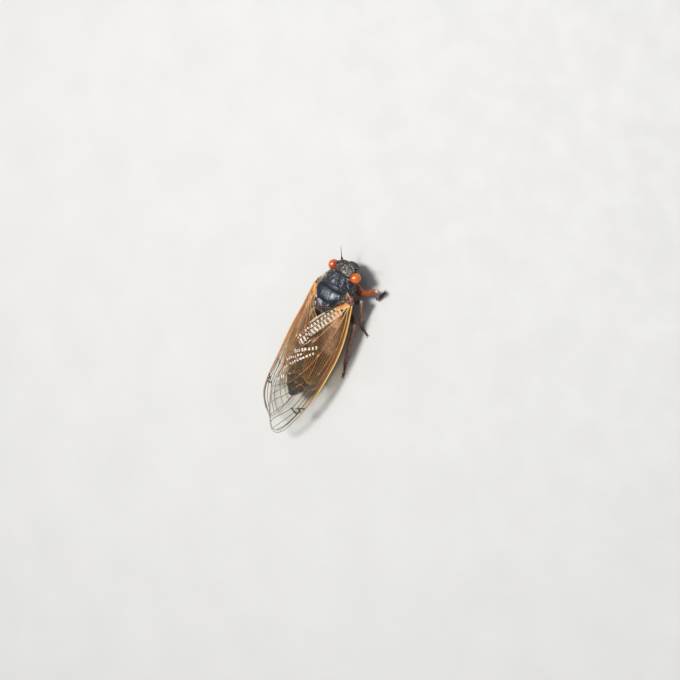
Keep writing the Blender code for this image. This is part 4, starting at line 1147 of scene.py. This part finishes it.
def build_hindwing(side, word, membrane, vein):
    """The smaller hind wing, pleated like a fan under the fore wing."""
    wing = Wing(side, HIND_OUTER_EDGE, HIND_INNER_EDGE, HIND_LEVEL[side])
    along, across = np.meshgrid(np.linspace(0, 1, 110),
                                np.linspace(0, 1, HIND_PLEATS * PLEAT_COLUMNS + 1), indexing="ij")
    plan = wing.plan(run(along, across))
    pleat = np.abs((across * HIND_PLEATS) % 1 - 0.5) * 2
    depth = 0.2 * np.clip(np.minimum(along, 1 - along) * 6, 0, 1)
    middle = raised(plan, wing.roof(plan) + (pleat - 0.5) * depth)
    form = Form()
    add_sheet(form, middle, side == LEFT, veil=0.9 * falling(along, 0.4, 1.1))
    for column in range(0, middle.shape[1], PLEAT_COLUMNS):
        add_tube(form, middle[2:-2, column], [(0, 0.05), (1, 0.035)], 8, skin=1, yellow=0.5,
                 dark=0.1)
    form.piece("hind_wing_" + word, [membrane, vein], "wing_membrane", "hindwing_" + word)


# Legs

FOOT_RADIUS, ANKLE_HEIGHT = 0.28, 0.62
# Hip and knee as (out, station, height), then ankle and toe as (out, station)
LEGS = {
    ("fore", RIGHT): ((3.35, 5.45, 2.4), (7.1, 2.7, 3.0), (6.45, 4.9), (7.1, 3.0)),
    ("fore", LEFT): ((2.6, 3.3, 1.6), (5.5, 5.7, 2.3), (5.3, 8.4), (7.0, 7.2)),
    ("mid", RIGHT): ((3.0, 7.5, 1.05), (5.3, 6.0, 4.0), (5.76, 11.4), (7.5, 12.2)),
    ("mid", LEFT): ((3.0, 8.1, 1.05), (5.4, 8.2, 4.0), (6.0, 13.2), (7.5, 14.2)),
    ("hind", RIGHT): ((3.0, 10.3, 1.05), (5.8, 11.0, 3.5), (5.94, 19.5), (6.6, 22.0)),
    ("hind", LEFT): ((3.0, 10.3, 1.05), (5.8, 11.3, 3.5), (6.0, 19.7), (6.7, 22.2)),
}
ROOTS = {"fore": (2.3, 4.0, 3.2), "mid": (2.2, 7.6, 2.2), "hind": (2.2, 9.8, 2.2)}
# Share of the length and radius along each part
PROFILES = {
    "fore": {"coxa": [(0, 0.62), (0.5, 0.56), (1, 0.42)],
             "femur": [(0, 0.3), (0.1, 0.42), (0.35, 0.6), (0.7, 0.56), (0.95, 0.4), (1, 0.33)],
             "tibia": [(0, 0.24), (0.08, 0.3), (0.5, 0.27), (0.92, 0.3), (1, 0.26)]},
    "mid": {"coxa": [(0, 0.55), (0.5, 0.46), (1, 0.36)],
            "femur": [(0, 0.26), (0.1, 0.34), (0.4, 0.42), (0.8, 0.36), (1, 0.28)],
            "tibia": [(0, 0.2), (0.06, 0.27), (0.5, 0.21), (0.92, 0.24), (1, 0.22)]},
}
PROFILES["hind"] = PROFILES["mid"]
# Spines as (share of the length, turn in degrees up from the outer side, length)
SPINES = {
    ("fore", "femur"): [(0.35, -75, 0.75), (0.62, -80, 0.65), (0.82, -80, 0.45)],
    ("mid", "tibia"): [(0.5, 30, 0.5), (0.8, -40, 0.5), (0.97, 20, 0.45), (0.97, -60, 0.4)],
    ("hind", "tibia"): [(0.3, 40, 0.55), (0.48, -30, 0.55), (0.64, 40, 0.6), (0.8, -30, 0.6),
                        (0.97, 30, 0.5), (0.97, -50, 0.5), (0.97, 120, 0.4)],
}
SPINE_PROFILE = [(0, 0.1), (1, 0.015)]
LIMB_PLACES, LIMB_SIDES, TIBIA_BOW = 60, 24, 0.12
LIMB_HAIRS = {"fore": 170, "mid": 240, "hind": 240}
FORE_ARM = {RIGHT: [(2.6, 3.0, 4.6), (3.3, 3.6, 3.9), (4.55, 4.45, 2.7)],
            LEFT: [(2.3, 2.9, 4.2), (2.7, 3.3, 3.2), (3.4, 4.0, 2.0)]}
FORE_ARM_PROFILE = [(0, 0.3), (0.3, 0.3), (1, 0.24)]
FOOT_PROFILE = [(0, 0.2), (0.22, 0.25), (0.25, 0.18), (0.5, 0.24), (0.53, 0.17), (0.85, 0.24),
                (1, 0.18)]
CLAW_PROFILE = [(0, 0.1), (1, 0.02)]


def add_spines(form, start, end, radius, entries, side):
    along = unit(end - start)
    outward = np.array([side, 0.0, 0.0])
    outward = unit(outward - along * (outward @ along))
    upward = np.array([0, 0, 1.0]) - along * along[2]
    upward = unit(upward - outward * (upward @ outward))
    share = np.linspace(0, 1, 8)[:, None]
    for t, degrees, length in entries:
        angle = math.radians(degrees)
        way = outward * math.cos(angle) + upward * math.sin(angle)
        base = start + (end - start) * t + way * radius * 0.5
        reach = unit(way + along * 0.7) * (length + radius * 0.5)
        add_tube(form, base + reach * share + along * 0.12 * share ** 2, SPINE_PROFILE, 8, dark=0.9)


def limb_lift(t, turn):
    """The low edges and waves of a leg's skin."""
    return 0.02 * np.cos(turn * 3) + 0.012 * np.cos(t * 40 + turn)


def limb_values(kind, fore):
    """How dark and how pale a part of a leg is along its length."""
    if kind == "coxa":
        return {"dark": lambda t: 0.55 - 0.3 * t, "pale": 0.0}
    if kind == "femur":
        return {"dark": lambda t: 0.15 + 0.75 * bump_at(t - 0.45, 0.12) * (not fore),
                "pale": lambda t: 0.7 * bump_at(t - 1, 0.05)}
    return {"dark": lambda t: 0.25 + 0.75 * t if fore else 0.8 * ramp(t, 0.75, 1),
            "pale": lambda t: 0.75 * bump_at(t, 0.05)}


def build_limb(pair, side, kind, word, start, end, shell, hair):
    """One part of a leg with its spines, and its hair, which is thicker near the knee."""
    share = np.linspace(0, 1, LIMB_PLACES)[:, None]
    path = start + (end - start) * share
    path[:, 2:] += TIBIA_BOW * np.sin(share * math.pi) * (kind == "tibia")
    profile = PROFILES[pair][kind]
    form = Form()
    values = limb_values(kind, pair == "fore")
    places = add_tube(form, path, profile, LIMB_SIDES, limb_lift, **values)
    radius = np.interp(share, *zip(*profile)).mean()
    add_spines(form, start, end, radius, SPINES.get((pair, kind), []), side)
    if kind == "coxa" and pair == "fore":
        add_tube(form, line_of(FORE_ARM[side], side), FORE_ARM_PROFILE, 20,
                 dark=lambda t: 0.35 * bump_at(t - 0.5, 0.2))
    form.piece(f"{kind}_shell_{word}", [shell], "brown_shell", f"{kind}_{word}")
    if kind != "coxa":
        rings = places[:-2].reshape(-1, LIMB_SIDES, 3)
        from_knee = np.linspace(0, 1, len(rings))[:, None] - (kind == "femur")
        build_coat(f"{kind}_hair_{word}", hair, rings, 0.25 + bump_at(from_knee, 0.12),
                   LIMB_HAIRS[pair], 0.3, lift=(0.3, 0.9))


def build_foot(word, ankle, toe, shell):
    """A foot of three joints with two claws, flat on the floor."""
    start = ankle + unit(toe - ankle) * 0.25
    path = np.array([start + (toe - start) * t for t in (0, 0.4, 0.75, 1)])
    path[1:, 2] = FOOT_RADIUS * 0.85
    path = smooth_path(path, 0.03)
    form = Form()
    add_tube(form, path, FOOT_PROFILE, 20, lowest=0, dark=0.9)
    way = unit(path[-1] - path[-2])
    across = np.array([-way[1], way[0], 0])
    for turn in (0.5, -0.5):
        tip = path[-1] + unit(way + across * turn) * 0.6
        tip[2] = 0.06
        middle = path[-1] + unit(way + across * turn * 1.6) * 0.35 + [0, 0, 0.12]
        claw = smooth_path([path[-1], middle, tip], 0.05)
        add_tube(form, claw, CLAW_PROFILE, 8, lowest=0, dark=0.6)
    form.piece("foot_" + word, [shell], "dark_shell", "tarsus_" + word)


def build_leg(pair, side, shell, hair):
    """A leg of coxa, femur, tibia and foot, each a piece of its own."""
    hip, knee, ankle, toe = LEGS[pair, side]
    word = pair + ("_left" if side == LEFT else "_right")
    joints = [point(*place, side) for place in (ROOTS[pair], hip, knee, (*ankle, ANKLE_HEIGHT))]
    for kind, start, end in zip(("coxa", "femur", "tibia"), joints, joints[1:]):
        build_limb(pair, side, kind, word, start, end, shell, hair)
    build_foot(word, joints[-1], point(*toe, FOOT_RADIUS, side), shell)


# Soft joints between wings and body: lumps as centre and radii, struts as line and radius

HINGE_LUMPS = [((3.5, 6.05, 6.62), (0.55, 0.62, 0.34)), ((4.2, 6.2, 6.2), (0.5, 0.62, 0.36)),
               ((4.6, 6.8, 5.85), (0.36, 0.55, 0.34)), ((3.95, 6.8, 6.42), (0.4, 0.34, 0.22))]
HINGE_STRUTS = [([(3.3, 5.2, 6.9), (4.2, 5.9, 6.55), (4.72, 7.0, 5.95)], 0.13),
                ([(3.0, 7.3, 7.35), (3.5, 6.9, 7.0), (3.8, 7.0, 6.7)], 0.11)]
HINGE_DROP = {RIGHT: 0, LEFT: 0.45}


def build_hinge(side, word, soft, vein):
    """The soft skin, the small plates and the struts where the wings join the body."""
    form = Form()
    drop = [0, 0, HINGE_DROP[side]]
    for place, radii in HINGE_LUMPS:
        lump = ball(32, 48)
        bulge = 1 + 0.35 * noise(lump + place, 0.8, 3)[..., None]
        fold = np.clip(noise(lump + place, 0.45, 2) * 1.4 + 0.2, 0, 1)
        grid = point(*place, side) - drop + lump * radii * bulge
        add_shell(form, grid, dark=0.5 * fold[::-1])
    for line, radius in HINGE_STRUTS:
        add_tube(form, line_of(line, side) - drop, [(0, radius), (1, radius * 0.6)], 10, skin=1,
                 yellow=lambda t: 0.7 - 0.5 * t)
    form.piece("hinge_" + word, [soft, vein], "pale_joint")


# Hair

TUFT_PATCH = np.array([(0, 0), (0.5, 0), (1, 0), (0, 0.5), (0.5, 0.5), (1, 0.5), (0.5, 1)]) * 0.003
HAIR_SPREAD = 0.22
# Faces of one spike: three places at its foot, three at its middle and one at its tip
HAIR_QUADS = ([0, 1, 4, 3], [1, 2, 5, 4], [2, 0, 3, 5])
HAIR_TRIANGLES = ([3, 4, 6], [4, 5, 6], [5, 3, 6], [0, 2, 1])


def scatter(grid, chance, count):
    """Random roots on a skin, with its directions there and their places on its unwrap."""
    rows, columns = grid.shape[:2]
    along, round_, out = skin_axes(grid)
    area = np.linalg.norm(np.cross(round_, along), axis=-1)
    chance = (np.clip(chance, 0, None) * area).ravel()
    row, column = np.divmod(RANDOM.choice(chance.size, count, p=chance / chance.sum()), columns)
    shift = RANDOM.uniform(-0.5, 0.5, (count, 2))
    along, round_, out = along[row, column], round_[row, column], out[row, column]
    roots = grid[row, column] + along * shift[:, :1] + round_ * shift[:, 1:]
    unwrap = np.stack([(column + 0.5 + shift[:, 1]) / columns, (row + 0.5 + shift[:, 0]) / rows],
                      axis=-1)
    return roots, out, unit(along), unwrap


def build_coat(name, hair, grid, chance, count, length, width=0.02, lift=(0.15, 0.5), tan=0.0):
    """Hairs as thin three-sided spikes that lie back along a skin."""
    roots, out, along, unwrap = scatter(grid, chance, count)
    stray = RANDOM.uniform(*lift, (count, 1)), RANDOM.normal(0, HAIR_SPREAD, (count, 3))
    lean = unit(along + out * stray[0] + stray[1])
    side = unit(np.cross(lean, out))
    up = np.cross(lean, side)
    turns = turns_of(3)[:, None]
    ring = (side[:, None] * np.cos(turns) + up[:, None] * np.sin(turns)) * width
    reach = RANDOM.uniform(0.6, 1.2, (count, 1)) * length
    base = (roots - out * 0.03)[:, None] + ring
    middle = (roots + lean * reach * 0.55)[:, None] + ring * 0.7
    tip = (roots + lean * reach - out * reach * 0.1)[:, None]
    spikes = np.concatenate([base, middle, tip], axis=1)
    start = np.arange(count)[:, None] * spikes.shape[1]
    faces = [np.vstack([start + face for face in group]) for group in (HAIR_QUADS, HAIR_TRIANGLES)]
    shade = np.repeat(RANDOM.uniform(0, 1, count), spikes.shape[1])
    form = Form()
    form.add(spikes, faces, shade=shade, tan=tan)
    form.unwrap.append((unwrap[:, None] * 0.99 + TUFT_PATCH).reshape(-1, 2))
    form.piece(name, [hair], "grey_hair")


def build_coats(hair, head, pronotum, back, thorax, abdomen):
    """The coats of the body, each with how thick it stands at each place of its skin."""
    out, s = out_and_station(head)
    bare = sum(bump_at(np.linalg.norm(head - point(*EYE_PLACE, side), axis=-1), EYE_RADIUS)
               for side, _ in SIDES)
    build_coat("head_hair", hair, head, np.clip(1.2 - bare, 0, 1) * (0.4 + (s > 0.7)), 900, 0.22,
               width=0.016)
    out, s = out_and_station(pronotum)
    thick = np.clip((out - 1.6) / 1.6, 0.05, 1) + 0.8 * bump_at(s - 2.95, 0.25)
    thick = (thick + 0.3 * (s > 5.3) * (out > 2.4)) * (s < 5.9)
    build_coat("pronotum_hair", hair, pronotum, thick, 1300, 0.26, width=0.015)
    out, s = out_and_station(back)
    thick = (back[..., 2] > 6.4) * (0.25 * (s > 8.9) + ramp(out, 2.5, 3.3))
    build_coat("back_hair", hair, back, thick, 420, 0.42)
    out, s = out_and_station(thorax)
    thick = 0.3 + (out > 1.2) + 1.5 * (out > 2.6) * bump_at(s - 6.3, 1.4) * (thorax[..., 2] > 3.5)
    build_coat("thorax_hair", hair, thorax, thick, 4200, 0.58, lift=(0.3, 0.9), tan=0.7)
    out, s = out_and_station(abdomen)
    build_coat("abdomen_hair", hair, abdomen, 0.25 + (out > 2.2) * 0.6 + (s > 24) * 0.5, 3600, 0.3)


def main():
    add_camera()
    add_studio()
    add_floor()
    # The grey bloom amounts given to these shells are partly real down and partly painted sky sheen.
    black = black_shell("black_shell")
    grey = black_shell("head_grey", brown=0.35, dust=0.12, gloss=0.36, tint=(0.82, 0.80, 0.68))
    gloss = black_shell("black_gloss", brown=0.05, dust=0.08, gloss=0.29, pit=0.15,
                        tint=(0.62, 0.71, 0.84))
    side_shell = black_shell("side_shell", brown=0.6, dust=0.4, gloss=0.4)
    brown, eye, hair = leg_shell(), eye_finish(), hair_finish()
    membrane, vein, soft = membrane_finish(), vein_finish(), joint_finish()
    build_ocelli(eye, black)
    build_clypeus(grey)
    build_beak(brown)
    skins = [build_head(grey), build_pronotum(black), build_mesonotum(gloss),
             build_thorax(side_shell), build_abdomen(black)]
    build_coats(hair, *skins)
    for side, word in SIDES:
        build_eye(side, word, eye)
        build_antenna(side, word, brown)
        build_hinge(side, word, soft, vein)
        build_forewing(side, word, membrane, vein)
        build_hindwing(side, word, membrane, vein)
    for pair, side in LEGS:
        build_leg(pair, side, brown, hair)


main()
